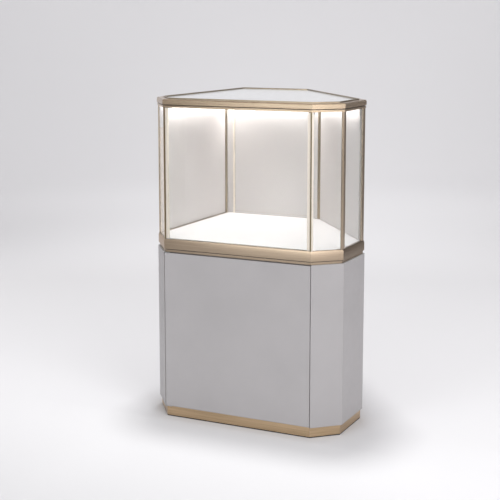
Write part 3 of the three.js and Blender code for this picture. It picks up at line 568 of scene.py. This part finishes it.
def turned(profile, steps=32):
    """A closed piece turned from (radius, height, form), where the form is round or cross."""
    shape = bmesh.new()
    rings = []
    for radius, height, form in profile:
        ring = []
        for step in range(steps):
            angle = 2 * pi * step / steps
            reach = radius
            if form == "cross":
                turn = abs(((angle + pi / 4) % (pi / 2)) - pi / 4)
                reach = radius if turn < CROSS_HALF_WIDTH else radius * CROSS_WAIST_SHARE
            ring.append(shape.verts.new((reach * cos(angle), reach * sin(angle), height)))
        rings.append(ring)
    for lower, upper in zip(rings, rings[1:]):
        for step in range(steps):
            following = (step + 1) % steps
            shape.faces.new((lower[step], lower[following], upper[following], upper[step]))
    shape.faces.new(list(reversed(rings[0])))
    shape.faces.new(rings[-1])
    bmesh.ops.recalc_face_normals(shape, faces=shape.faces)
    return shape


def stand_on(shape, point, axis):
    """Moves a turned shape so that its height runs along the axis from the point."""
    turn = Vector((0, 0, 1)).rotation_difference(Vector(axis)).to_matrix().to_4x4()
    bmesh.ops.transform(shape, matrix=Matrix.Translation(Vector(point)) @ turn, verts=shape.verts)
    return shape


def add_screw(name, point, axis, radius, body="cabinet"):
    """A pan-head screw with a cross recess, its head seated on the point."""
    rise = radius * SCREW_RISE_SHARE
    head = [(radius * across, rise * up, form) for across, up, form in SCREW_HEAD]
    shape = turned([(radius, -SCREW_SEAT, "round"), *head])
    make_piece(name, stand_on(shape, point, axis), [SCREW_STEEL], body, grain=(1, 0, 0))


for rail_name, side in RAIL_SIDES.items():
    node = f"shelf_rail_{rail_name}"
    direction = side_direction(side)
    dress(f"{node}_angle", node, [STEEL], STEEL_EASE, grain=(*direction, 0))
    inward = Vector((-direction.y, direction.x))
    for number, share in enumerate(RAIL_SCREW_SHARES):
        place = PLAN[side] + direction * RAIL_RUNS[rail_name] * share + inward * RAIL_SCREW_INSET
        add_screw(f"{node}_screw_{number}", (*place, RAIL_SCREW_LEVEL), (*inward, 0), RAIL_SCREW_RADIUS)

# Base door pivots: at the foot and head of the door's left end, a steel plate with a fixed pin is
# let into the base, and a bored steel bush into the door's edge.
BUSH_EASE = 0.0002
for level in ("lower", "upper"):
    node = f"base_pivot_{level}"
    dress(f"{node}_plate", node, [STEEL], STEEL_EASE, grain=(0, 1, 0))
    node = f"base_door_bush_{level}"
    dress(f"{node}_plate", node, [STEEL], BUSH_EASE, body="base_door", grain=(1, 0, 0))

# The base door: one 20 mm lacquered slab between the corner panels, with no handle. It opens by
# a push, and carries a small steel strike for the latch at its free edge.
STRIKE_EASE = 0.0004
STRIKE_SCREW_FROM_END = 0.0032
STRIKE_SCREW_ASIDE = 0.006
STRIKE_SCREW_RADIUS = 0.0016
dress(
    "base_door_slab",
    "base_door",
    BOARD_FACES,
    BOARD_EASE,
    body="base_door",
    choose=lambda face: 1 if face.normal.y > FLAT_FACING else 0,
)
dress(
    "base_strike_plate", "base_strike", [STEEL], STRIKE_EASE, body="base_door", grain=(1, 0, 0)
)
strike_low, strike_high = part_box("base_strike")
strike_x = (strike_low.x + strike_high.x) / 2 + STRIKE_SCREW_ASIDE
strike_ends = (strike_low.z + STRIKE_SCREW_FROM_END, strike_high.z - STRIKE_SCREW_FROM_END)
for number, height in enumerate(strike_ends):
    place = (strike_x, strike_high.y, height)
    add_screw(f"base_strike_screw_{number}", place, (0, 1, 0), STRIKE_SCREW_RADIUS, "base_door")

# Push latches: a moulded grey case with a black spring plunger. The lower one is screwed under
# the base's top board, the upper one hangs under the top frame behind the glass door's stile.
LATCH_EASE = 0.0006
PLUNGER_EASE = 0.0004
LATCH_SCREW_SHARES = (0.35, 0.8)
LATCH_SCREW_RADIUS = 0.0021


def moulded_plastic(name, dark, light, smooth, rough):
    """Spark-textured moulding: a fine even grain in height, with a soft drift in tone and sheen."""
    material, tree, shader = start_material(name)
    skin = place_group(tree, SATIN_SKIN, {"Ripple per metre": 2600.0, "Cloud per metre": 24.0})
    tree.links.new(ramp_between(tree, skin.outputs["Cloud"], dark, light), shader.inputs["Base Color"])
    tree.links.new(range_between(tree, skin.outputs["Sheen"], smooth, rough), shader.inputs["Roughness"])
    bumped(tree, shader, skin.outputs["Height"], distance=0.00003, strength=0.6)
    return material


GREY_PLASTIC = moulded_plastic(
    "grey_plastic", dark=linear(108, 109, 111), light=linear(120, 121, 123), smooth=0.42, rough=0.56
)
BLACK_PLASTIC = moulded_plastic(
    "black_plastic", dark=linear(30, 30, 31), light=linear(42, 42, 43), smooth=0.4, rough=0.55
)
WHITE_PLASTIC = moulded_plastic(
    "white_plastic", dark=linear(232, 231, 226), light=linear(242, 241, 236), smooth=0.38, rough=0.5
)
for latch, body in (("base", "base_plunger"), ("display", "display_plunger")):
    dress(f"{latch}_latch_case", f"{latch}_latch_body", [GREY_PLASTIC], LATCH_EASE)
    node = f"{latch}_latch_plunger"
    dress(f"{latch}_latch_tip", node, [BLACK_PLASTIC], PLUNGER_EASE, body=body)
    low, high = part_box(f"{latch}_latch_body")
    for number, share in enumerate(LATCH_SCREW_SHARES):
        place = ((low.x + high.x) / 2, low.y + (high.y - low.y) * share, low.z)
        add_screw(f"{latch}_latch_screw_{number}", place, (0, 0, -1), LATCH_SCREW_RADIUS)

# The deck frame: a mitred ring of brushed profile, with a set-back lip, a shadow groove whose
# faces are painted dark as painted shade, the broad band and a bevel up to the glass.
DECK_GROOVE = (0.6940, 0.6970)
# A dark colour painted on the groove's faces, as painted shade.
GROOVE_PAINTED_SHADE = moulded_plastic(
    "groove_painted_shade", dark=linear(46, 41, 35), light=linear(58, 52, 45), smooth=0.5, rough=0.6
)
ROSE_BRONZE = brushed_metal(
    "rose_bronze",
    dark=linear(154, 137, 118),
    light=linear(184, 165, 145),
    rub=linear(214, 197, 178),
    smooth=0.28,
    rough=0.38,
)
make_bars("deck_frame", [ROSE_BRONZE, GROOVE_PAINTED_SHADE], METAL_EASE, DECK_GROOVE)

# The deck: a white satin board, 16 mm thick, glued into the frame's rebate with its top a hair
# below the frame's.
DECK_WHITE = sprayed_board(
    "deck_white",
    dark=linear(243, 240, 242),
    light=linear(247, 244, 246),
    smooth=0.34,
    rough=0.44,
    cloud=3.0,
)
dress("deck_board", "deck_panel", [DECK_WHITE], INNER_EASE)

# Corner posts: slim anodised sections, brushed upright, with a groove for each pane. They stand
# between the two frames and hold them apart.
POST_EASE = 0.0006
FRONT_FACING = 0.9
CHAMPAGNE = brushed_metal(
    "champagne_anodised",
    dark=linear(182, 162, 138),
    light=linear(206, 185, 160),
    rub=linear(232, 216, 196),
    smooth=0.22,
    rough=0.32,
)
POST_CHAMPAGNE = brushed_metal(
    "post_champagne",
    dark=linear(180, 162, 141),
    light=linear(200, 182, 160),
    rub=linear(230, 215, 196),
    smooth=0.2,
    rough=0.3,
    spread=0.1,
)
# Pale champagne with little metallic: a painted highlight on the stiles, the trim and the right front post.
PAINTED_HIGHLIGHT_CHAMPAGNE = brushed_metal(
    "champagne_painted_highlight",
    dark=linear(226, 216, 202),
    light=linear(238, 229, 216),
    rub=linear(246, 240, 230),
    smooth=0.24,
    rough=0.34,
    spread=0.1,
    metallic=0.35,
)
# Dark olive bronze: painted shade on the front faces of the front posts and on the trim's sides.
PAINTED_SHADE_OLIVE = brushed_metal(
    "olive_painted_shade",
    dark=linear(124, 113, 85),
    light=linear(150, 138, 107),
    rub=linear(188, 176, 146),
    smooth=0.24,
    rough=0.34,
    spread=0.1,
)
# The finish of each post on its face to the front, then on its other faces. The olive front faces
# of the two front posts are painted shade, and the pale side faces of the right one painted highlight.
POST_FINISHES = {
    "left_side": [POST_CHAMPAGNE, POST_CHAMPAGNE],
    "left_front": [PAINTED_SHADE_OLIVE, POST_CHAMPAGNE],
    "right_front": [PAINTED_SHADE_OLIVE, PAINTED_HIGHLIGHT_CHAMPAGNE],
    "right_side": [POST_CHAMPAGNE, POST_CHAMPAGNE],
    "diagonal": [POST_CHAMPAGNE, POST_CHAMPAGNE],
}


def front_first(face):
    """Picks the first finish for faces that look straight to the front, and the second for the rest; on the
    posts and the trim this places the painted shade and the painted highlight.
    """
    return 0 if face.normal.y < -FRONT_FACING else 1


for post, finishes in POST_FINISHES.items():
    node = f"post_{post}"
    dress(f"{node}_bar", node, finishes, POST_EASE, grain=(0, 0, 1), choose=front_first)

# Walls of the display: board of 6 to 22 mm in light warm grey satin lacquer. The left and slanted
# walls close two sides, and the back wall stands in front of a closed bay, whose rear panel is
# screwed on.
WALL_EASE = 0.0005
REAR_SCREW_LEVELS = (0.752, 1.0, 1.248)
REAR_SCREW_ACROSS = (-0.4, -0.24, -0.078)
REAR_FACE = 0.4452
REAR_SCREW_RADIUS = 0.0026
WALL_LACQUER = sprayed_board(
    "wall_lacquer", dark=linear(189, 184, 183), light=linear(195, 190, 189), smooth=0.42, rough=0.52
)
for node in ("left_wall", "diagonal_wall", "rear_panel", "back_wall", "back_wall_filler"):
    dress(f"{node}_board", node, [WALL_LACQUER], WALL_EASE)
for row, height in enumerate(REAR_SCREW_LEVELS):
    for column, across in enumerate(REAR_SCREW_ACROSS):
        place = (across, REAR_FACE, height)
        add_screw(f"rear_panel_screw_{row}_{column}", place, (0, 1, 0), REAR_SCREW_RADIUS)

# The joint trim between filler and back wall, and the two corner beads, are extruded metal
# pressed into the joints: the trim pale in front as painted highlight and olive on its sides as
# painted shade, the beads dark bronze.
TRIM_EASE = 0.0005
BEAD_EASE = 0.0006
DARK_BRONZE = brushed_metal(
    "dark_bronze",
    dark=linear(148, 135, 116),
    light=linear(174, 161, 140),
    rub=linear(200, 188, 168),
    smooth=0.3,
    rough=0.42,
)
dress(
    "back_wall_trim_bar",
    "back_wall_trim",
    [PAINTED_HIGHLIGHT_CHAMPAGNE, PAINTED_SHADE_OLIVE],
    TRIM_EASE,
    grain=(0, 0, 1),
    choose=front_first,
)
for node in ("corner_bead_left", "corner_bead_right"):
    dress(f"{node}_bar", node, [DARK_BRONZE], BEAD_EASE, grain=(0, 0, 1))

# Foot trims: a low skirting along the back wall, lacquered like it, with a dark line below and
# above it that is painted shade, and thin dark bronze lines along the left and slanted walls that
# are painted shade where the walls meet the deck. They are glued to the walls.
FOOT_LEVEL = 0.7369
SHADE_LINE_HEIGHT = 0.0010
SKIRTING_TOP = 0.0100
SKIRTING_DEPTH = 0.0016
SHADE_LINE_DEPTH = 0.0009
WALL_CONTACT = 0.0001
FOOT_TRIM_EASE = 0.00015
SKIRTING_PROFILE = [
    (WALL_CONTACT, 0.0),
    (SHADE_LINE_DEPTH, 0.0),
    (SHADE_LINE_DEPTH, SHADE_LINE_HEIGHT),
    (SKIRTING_DEPTH, SHADE_LINE_HEIGHT),
    (SKIRTING_DEPTH, SKIRTING_TOP),
    (SHADE_LINE_DEPTH, SKIRTING_TOP),
    (SHADE_LINE_DEPTH, SKIRTING_TOP + SHADE_LINE_HEIGHT),
    (WALL_CONTACT, SKIRTING_TOP + SHADE_LINE_HEIGHT),
]
SHADE_LINE_PROFILE = [
    (WALL_CONTACT, 0.0),
    (SHADE_LINE_DEPTH, 0.0),
    (SHADE_LINE_DEPTH, SHADE_LINE_HEIGHT),
    (WALL_CONTACT, SHADE_LINE_HEIGHT),
]


def add_foot_trim(name, start, end, profile):
    """A thin extrusion on the foot of a wall, from start to end with the display on its left."""
    along = Vector((*(end - start), 0))
    inward = Vector((-along.y, along.x, 0)).normalized()
    shape = bmesh.new()
    rings = []
    for corner in (Vector((*start, FOOT_LEVEL)), Vector((*end, FOOT_LEVEL))):
        rings.append([shape.verts.new(corner + inward * out + Vector((0, 0, up))) for out, up in profile])
    for number in range(len(profile)):
        following = (number + 1) % len(profile)
        shape.faces.new((rings[0][number], rings[0][following], rings[1][following], rings[1][number]))
    shape.faces.new(list(reversed(rings[0])))
    shape.faces.new(rings[1])
    bmesh.ops.recalc_face_normals(shape, faces=shape.faces)
    ease(shape, FOOT_TRIM_EASE, segments=1)
    # Faces outside the skirting's face take the dark bronze, as painted shade lines.
    low, high = FOOT_LEVEL + SHADE_LINE_HEIGHT, FOOT_LEVEL + SKIRTING_TOP
    make_piece(
        name,
        shape,
        [WALL_LACQUER, DARK_BRONZE],
        "cabinet",
        grain=along,
        choose=lambda face: 0 if low < face.center.z < high else 1,
    )


SLANTED_WAY = side_direction(4)
SLANTED_WALL_INSET = 0.0268
SLANTED_FOOT = PLAN[4] + Vector((-SLANTED_WAY.y, SLANTED_WAY.x)) * SLANTED_WALL_INSET
add_foot_trim(
    "back_wall_skirting",
    start=Vector((0.0412, 0.28)),
    end=Vector((-0.3592, 0.28)),
    profile=SKIRTING_PROFILE,
)
add_foot_trim(
    "left_wall_shade_line",
    start=Vector((-0.4077, 0.271)),
    end=Vector((-0.4077, -0.3065)),
    profile=SHADE_LINE_PROFILE,
)
add_foot_trim(
    "diagonal_wall_shade_line",
    start=SLANTED_FOOT + SLANTED_WAY * 0.016,
    end=SLANTED_FOOT + SLANTED_WAY * 0.536,
    profile=SHADE_LINE_PROFILE,
)

# The panes: 6 mm float glass with ground and polished edges, greener where one looks along them.
# The fixed ones are bedded in the posts and in both frames.
GLASS_EASE = 0.0005
PANE_FACING = 0.99


def clear_glass(name, tint, smooth, rough):
    """Clear glass that lets the lamps' light through, with a trace of wiping marks in its gloss."""
    material, tree, shader = start_material(name)
    output = tree.nodes["Material Output"]
    place = node_in(tree, "ShaderNodeTexCoord")
    wipe = node_in(tree, "ShaderNodeTexNoise", {"Scale": 9.0, "Detail": 5.0, "Distortion": 1.4})
    tree.links.new(place.outputs["Object"], wipe.inputs["Vector"])
    tree.links.new(range_between(tree, wipe.outputs["Fac"], smooth, rough), shader.inputs["Roughness"])
    shader.inputs["Base Color"].default_value = tint
    shader.inputs["Transmission Weight"].default_value = 1.0
    shader.inputs["IOR"].default_value = 1.5
    path = node_in(tree, "ShaderNodeLightPath")
    through = node_in(tree, "ShaderNodeBsdfTransparent", {"Color": (0.94, 0.96, 0.95, 1.0)})
    mixed = node_in(tree, "ShaderNodeMixShader")
    tree.links.new(path.outputs["Is Shadow Ray"], mixed.inputs["Fac"])
    tree.links.new(shader.outputs["BSDF"], mixed.inputs[1])
    tree.links.new(through.outputs["BSDF"], mixed.inputs[2])
    tree.links.new(mixed.outputs["Shader"], output.inputs["Surface"])
    return material


PANE_GLASS = clear_glass("pane_glass", tint=(0.965, 0.985, 0.975, 1.0), smooth=0.0, rough=0.02)
PANE_EDGE = clear_glass("pane_edge", tint=(0.62, 0.86, 0.78, 1.0), smooth=0.06, rough=0.16)


def add_pane(node, body, across):
    """Glass on the two broad faces, which lie across the given way, and greener edges round them."""
    normal = Vector(across).normalized()
    dress(
        f"{node}_glass",
        node,
        [PANE_GLASS, PANE_EDGE],
        GLASS_EASE,
        body=body,
        choose=lambda face: 0 if abs(face.normal.dot(normal)) > PANE_FACING else 1,
        segments=1,
    )


for node, side in (("pane_left_corner", 0), ("pane_right_corner", 2), ("pane_right_side", 3)):
    direction = side_direction(side)
    add_pane(node, "cabinet", (-direction.y, direction.x, 0))

# The display door: a pane held in two channel stiles, painted pale as painted highlight, turning
# on pivot plates that are screwed to the frames, with a white bush in the foot and head of the left stile.
STILE_EASE = 0.0003
PIVOT_EASE = 0.0002
PIVOT_SCREW_ACROSS = (-0.2965, -0.2875)
PIVOT_SCREW_DEEP = -0.4392
PIVOT_SCREW_RADIUS = 0.0013
# The level of each pivot plate's open face, and whether it looks up (1) or down (-1).
PIVOT_FACES = {"lower": (0.7388, 1), "upper": (1.2612, -1)}
add_pane("display_door_pane", "display_door", (0, 1, 0))
for stile in ("left", "right"):
    node = f"display_door_stile_{stile}"
    dress(
        f"{node}_bar",
        node,
        [PAINTED_HIGHLIGHT_CHAMPAGNE],
        STILE_EASE,
        body="display_door",
        grain=(0, 0, 1),
    )
for level, (face_level, way) in PIVOT_FACES.items():
    node = f"display_door_bush_{level}"
    dress(f"{node}_block", node, [WHITE_PLASTIC], BUSH_EASE, body="display_door")
    node = f"display_pivot_{level}"
    dress(f"{node}_plate", node, [STEEL], PIVOT_EASE, grain=(1, 0, 0))
    for number, across in enumerate(PIVOT_SCREW_ACROSS):
        place = (across, PIVOT_SCREW_DEEP, face_level)
        add_screw(f"{node}_screw_{number}", place, (0, 0, way), PIVOT_SCREW_RADIUS)

# The top frame: the same mitred construction, finer, in brighter champagne. The pale top panel lies
# in its rebate, and a dark bead covers the joint all round. A lacquered rail lies over the back wall.
TOP_GROOVE = (1.2712, 1.2745)
GLAZING_EASE = 0.0004
# Its shadow groove's faces are painted dark too, as painted shade.
make_bars("top_frame", [CHAMPAGNE, GROOVE_PAINTED_SHADE], METAL_EASE, TOP_GROOVE)
make_bars("glazing_bead", [DARK_BRONZE], GLAZING_EASE)
TOP_PALE = sprayed_board(
    "top_pale",
    dark=linear(200, 202, 203),
    light=linear(206, 208, 209),
    smooth=0.12,
    rough=0.2,
    coat=0.6,
    cloud=2.0,
)
dress("top_board", "top_panel", [TOP_PALE], INNER_EASE)
dress("back_rail_board", "back_rail", [WALL_LACQUER], WALL_EASE)

# The light runs: a metal channel let into the frame and the rail from below, a flexible tape with
# diodes inside it, and a frosted diffuser clipped into its mouth. Strip lamps give their light.
LAMP_WARM = (1.0, 0.985, 0.965)
LAMP_HEIGHT = 1.2615
LAMP_WIDTH = 0.006
LAMP_LEAN = 0.8


def lit_diffuser(name, strength):
    """Frosted plastic lit from behind, its glow a little uneven along it."""
    material, tree, shader = start_material(name)
    place = node_in(tree, "ShaderNodeTexCoord")
    dots = node_in(tree, "ShaderNodeTexNoise", {"Scale": 120.0, "Detail": 1.0})
    tree.links.new(place.outputs["Object"], dots.inputs["Vector"])
    colour = ramp_between(tree, dots.outputs["Fac"], low=(1.0, 0.9, 0.78, 1.0), high=(1.0, 0.95, 0.88, 1.0))
    tree.links.new(colour, shader.inputs["Emission Color"])
    shader.inputs["Base Color"].default_value = (0.9, 0.9, 0.88, 1.0)
    tree.links.new(range_between(tree, dots.outputs["Fac"], low=0.4, high=0.5), shader.inputs["Roughness"])
    shader.inputs["Emission Strength"].default_value = strength
    return material


def add_strip_lamp(name, start, end, power, width=LAMP_WIDTH, lean=LAMP_LEAN):
    """A soft strip lamp between two plan points, looking down and leaning towards the wall."""
    start, end = Vector(start), Vector(end)
    lamp = bpy.data.lights.new(name, "AREA")
    lamp.shape, lamp.size, lamp.size_y = "RECTANGLE", (end - start).length, width
    lamp.energy, lamp.color = power, LAMP_WARM
    holder = bpy.data.objects.new(name, lamp)
    bpy.context.scene.collection.objects.link(holder)
    along = Vector((*(end - start).normalized(), 0))
    wallward = Vector((along.y, -along.x, 0))
    down = (Vector((0, 0, -1)) + wallward * lean).normalized()
    across = down.cross(along)
    middle = (start + end) / 2
    turn = Matrix((along, -across, -down)).transposed()
    holder.matrix_world = Matrix.Translation((*middle, LAMP_HEIGHT)) @ turn.to_4x4()
    holder.visible_camera = False
    holder.visible_transmission = False
    holder.visible_glossy = False


LIT_DIFFUSER = lit_diffuser("lit_diffuser", strength=4.0)
for run in ("walls", "front"):
    for kind, material, slot in (
        ("channel", STEEL, "steel"),
        ("diffuser", LIT_DIFFUSER, "light"),
        ("tape", WHITE_PLASTIC, "white_plastic"),
    ):
        node = f"light_{kind}_{run}"
        make_piece(f"{node}_strip", shape_of(node), [material], "cabinet", [node], (1, 0, 0))
add_strip_lamp("lamp_diagonal", start=(0.356, -0.129), end=(0.040, 0.262), power=0.8)
add_strip_lamp("lamp_back", start=(0.015, 0.261), end=(-0.389, 0.261), power=1.95)
add_strip_lamp("lamp_left", start=(-0.389, 0.261), end=(-0.389, -0.284), power=1.45)
add_strip_lamp("lamp_front", start=(-0.264, -0.422), end=(0.268, -0.422), power=1.25, width=0.008, lean=0.0)

# In the closed bay: the driver in its white case, hung on the back wall, its lead up to the rail,
# and a black cable gland through the rear panel. No cord is seen, so none is made.
CASE_EASE = 0.0015
GLAND_EASE = 0.0003
dress("light_driver_case", "light_driver", [WHITE_PLASTIC], CASE_EASE, segments=3)
shape = shape_of("light_lead")
make_piece("light_lead_cable", shape, [WHITE_PLASTIC], "cabinet", ["light_lead"])
dress("cable_gland_body", "cable_gland", [BLACK_PLASTIC], GLAND_EASE)

# Studio floor: pale matt paper, flat round the cabinet and rising far away on all sides, so that
# no edge of it is seen. It is painted a little darker in front of the cabinet, as painted shade.
FLAT_RINGS = (2.0, 4.0, 7.0)
RISE_RADIUS = 4.0
RISE_STEPS = 12
PAPER_TOP = 7.0
PAPER_STEPS = 96
BELOW_CABINET = 0.0002


def bowl_of_paper():
    """A round floor whose rim turns up through a quarter circle and ends in a straight wall."""
    shape = bmesh.new()
    profile = [(radius, 0.0) for radius in FLAT_RINGS]
    for step in range(1, RISE_STEPS + 1):
        angle = radians(90 * step / RISE_STEPS)
        profile.append((FLAT_RINGS[-1] + RISE_RADIUS * sin(angle), RISE_RADIUS * (1 - cos(angle))))
    profile.append((FLAT_RINGS[-1] + RISE_RADIUS, PAPER_TOP))
    centre = shape.verts.new((0, 0, 0))
    rings = []
    for radius, height in profile:
        ring = []
        for step in range(PAPER_STEPS):
            angle = 2 * pi * step / PAPER_STEPS
            ring.append(shape.verts.new((radius * cos(angle), radius * sin(angle), height)))
        rings.append(ring)
    for step in range(PAPER_STEPS):
        following = (step + 1) % PAPER_STEPS
        shape.faces.new((centre, rings[0][step], rings[0][following]))
        for inner, outer in zip(rings, rings[1:]):
            shape.faces.new((inner[step], outer[step], outer[following], inner[following]))
    mesh = bpy.data.meshes.new("studio_floor")
    shape.to_mesh(mesh)
    shape.free()
    mesh.shade_smooth()
    return mesh


def studio_paper():
    """Matt paper with broad faint clouds, painted darker as painted shade from 0.4 m in front of the
    cabinet's middle, fully so from 2 m on.
    """
    material, tree, shader = start_material("studio_paper")
    place = node_in(tree, "ShaderNodeTexCoord")
    cloud = node_in(tree, "ShaderNodeTexNoise", {"Scale": 0.35, "Detail": 0.0})
    dark, light = (0.735, 0.73, 0.745, 1.0), (0.795, 0.79, 0.805, 1.0)
    colour = ramp_between(tree, cloud.outputs["Fac"], dark, light, start=0.0, end=1.0)
    apart = node_in(tree, "ShaderNodeSeparateXYZ")
    # The paper's colour is scaled down towards the front: painted shade.
    limits = {"From Min": -2.0, "From Max": -0.4, "To Min": 0.74, "To Max": 1.0}
    painted_front_shade = node_in(tree, "ShaderNodeMapRange", limits, interpolation_type="SMOOTHSTEP")
    toned = node_in(tree, "ShaderNodeVectorMath", operation="SCALE")
    tree.links.new(place.outputs["Object"], cloud.inputs["Vector"])
    tree.links.new(place.outputs["Object"], apart.inputs["Vector"])
    tree.links.new(apart.outputs["Y"], painted_front_shade.inputs["Value"])
    tree.links.new(colour, toned.inputs[0])
    tree.links.new(painted_front_shade.outputs["Result"], toned.inputs["Scale"])
    tree.links.new(toned.outputs["Vector"], shader.inputs["Base Color"])
    shader.inputs["Roughness"].default_value = 0.6
    shader.inputs["Specular IOR Level"].default_value = 0.04
    return material


floor = bpy.data.objects.new("studio_floor", bowl_of_paper())
bpy.context.scene.collection.objects.link(floor)
floor.location.z = -BELOW_CABINET
floor.data.materials.append(studio_paper())

# Studio lights: a pale room, soft light from the right and from the front, two lights on the far
# paper and a pool of light from overhead. Four dark cards show in the metal and the glass alone.
CARD_LIFT = 1.2
world = bpy.data.worlds.new("studio_air")
bpy.context.scene.world = world
world.use_nodes = True
sky = world.node_tree.nodes["Background"]
sky.inputs["Color"].default_value = (0.985, 0.97, 0.975, 1.0)
sky.inputs["Strength"].default_value = 0.62


def add_softbox(name, place, target, width, height, power, colour=(1, 1, 1)):
    """A rectangle of soft light that looks at a target and is hidden from the camera."""
    lamp = bpy.data.lights.new(name, "AREA")
    lamp.shape, lamp.size, lamp.size_y = "RECTANGLE", width, height
    lamp.energy, lamp.color = power, colour
    holder = bpy.data.objects.new(name, lamp)
    bpy.context.scene.collection.objects.link(holder)
    holder.location = place
    holder.rotation_mode = "QUATERNION"
    holder.rotation_quaternion = (Vector(target) - Vector(place)).to_track_quat("-Z", "Y")
    holder.visible_camera = False
    holder.visible_transmission = False


def add_flag(name, place, facing, width, shade, foot=0.01, head=3.2):
    """A dark card that stands out of view and shows only in glossy surfaces."""
    shape = bmesh.new()
    across = Vector((-facing[1], facing[0], 0)).normalized() * width / 2
    low, high = Vector((*place, foot)), Vector((*place, head))
    corners = (low - across, low + across, high + across, high - across)
    shape.faces.new([shape.verts.new(corner) for corner in corners])
    mesh = bpy.data.meshes.new(name)
    shape.to_mesh(mesh)
    shape.free()
    card = bpy.data.objects.new(name, mesh)
    bpy.context.scene.collection.objects.link(card)
    material, tree, shader = start_material(f"{name}_cloth")
    spot = node_in(tree, "ShaderNodeTexCoord")
    weave = node_in(tree, "ShaderNodeTexNoise", {"Scale": 30.0, "Detail": 2.0})
    tree.links.new(spot.outputs["Object"], weave.inputs["Vector"])
    lifted = (*(CARD_LIFT * part for part in shade), 1.0)
    colour = ramp_between(tree, weave.outputs["Fac"], (*shade, 1.0), lifted)
    tree.links.new(colour, shader.inputs["Base Color"])
    mesh.materials.append(material)
    card.visible_camera = card.visible_diffuse = card.visible_transmission = card.visible_shadow = False


MIDDLE = (0, 0, 0.7)
FAR_WALL = (-4.2, 9.6, 1.0)
NEAR_WALL = (0.5, -10.6, 1.4)
REAR_SHADE = (0.05, 0.032, 0.02)
add_softbox("softbox_right", (3.8, -3.15, 2.4), MIDDLE, width=2.4, height=2.4, power=106)
add_softbox(
    "softbox_front", (-1.5, -5.4, 2.7), MIDDLE, width=2.2, height=2.2, power=64, colour=(0.97, 1.0, 0.99)
)
add_softbox("softbox_wall", (-1.7, 3.9, 4.0), FAR_WALL, width=2.6, height=2.6, power=130)
add_softbox("softbox_wall_front", (0.2, -5.6, 4.2), NEAR_WALL, width=4.0, height=2.6, power=230)
pool = bpy.data.lights.new("floor_pool", "SPOT")
pool.energy = 550
pool.spot_size = radians(84)
pool.spot_blend = 0.6
pool.shadow_soft_size = 0.42
pool_holder = bpy.data.objects.new("floor_pool", pool)
bpy.context.scene.collection.objects.link(pool_holder)
pool_holder.location = (-0.28, 0.28, 5.4)
add_flag("flag_rear_right", place=(2.616, 3.1), facing=(0.5, 0.86), width=1.4, shade=REAR_SHADE)
add_flag("flag_rear_left", place=(1.325, 3.85), facing=(0.5, 0.86), width=0.8, shade=REAR_SHADE)
add_flag(
    "flag_left",
    place=(-2.6, 2.05),
    facing=(0.78, -0.62),
    width=2.0,
    shade=(0.72, 0.63, 0.55),
    foot=0.12,
    head=0.9,
)
add_flag("flag_front", place=(-3.4, -3.6), facing=(0.7, 0.7), width=2.6, shade=(0.2, 0.18, 0.16))

# The camera: a long lens from the right of the front, a little above the cabinet, as in the
# photograph. The tones are shown as they are.
CAMERA_TILT = 8.86
CAMERA_TURN = 25.78
camera = bpy.data.objects.new("camera", bpy.data.cameras.new("camera"))
bpy.context.scene.collection.objects.link(camera)
bpy.context.scene.camera = camera
camera.data.sensor_width = 36.0
camera.data.lens = 85.25
camera.data.shift_y = -0.08
camera.data.clip_end = 60.0
camera.location = (2.0245, -4.506, 1.582)
camera.rotation_euler = (radians(90 - CAMERA_TILT), 0, radians(CAMERA_TURN))
bpy.context.scene.view_settings.view_transform = "Standard"
bpy.context.scene.view_settings.look = "None"
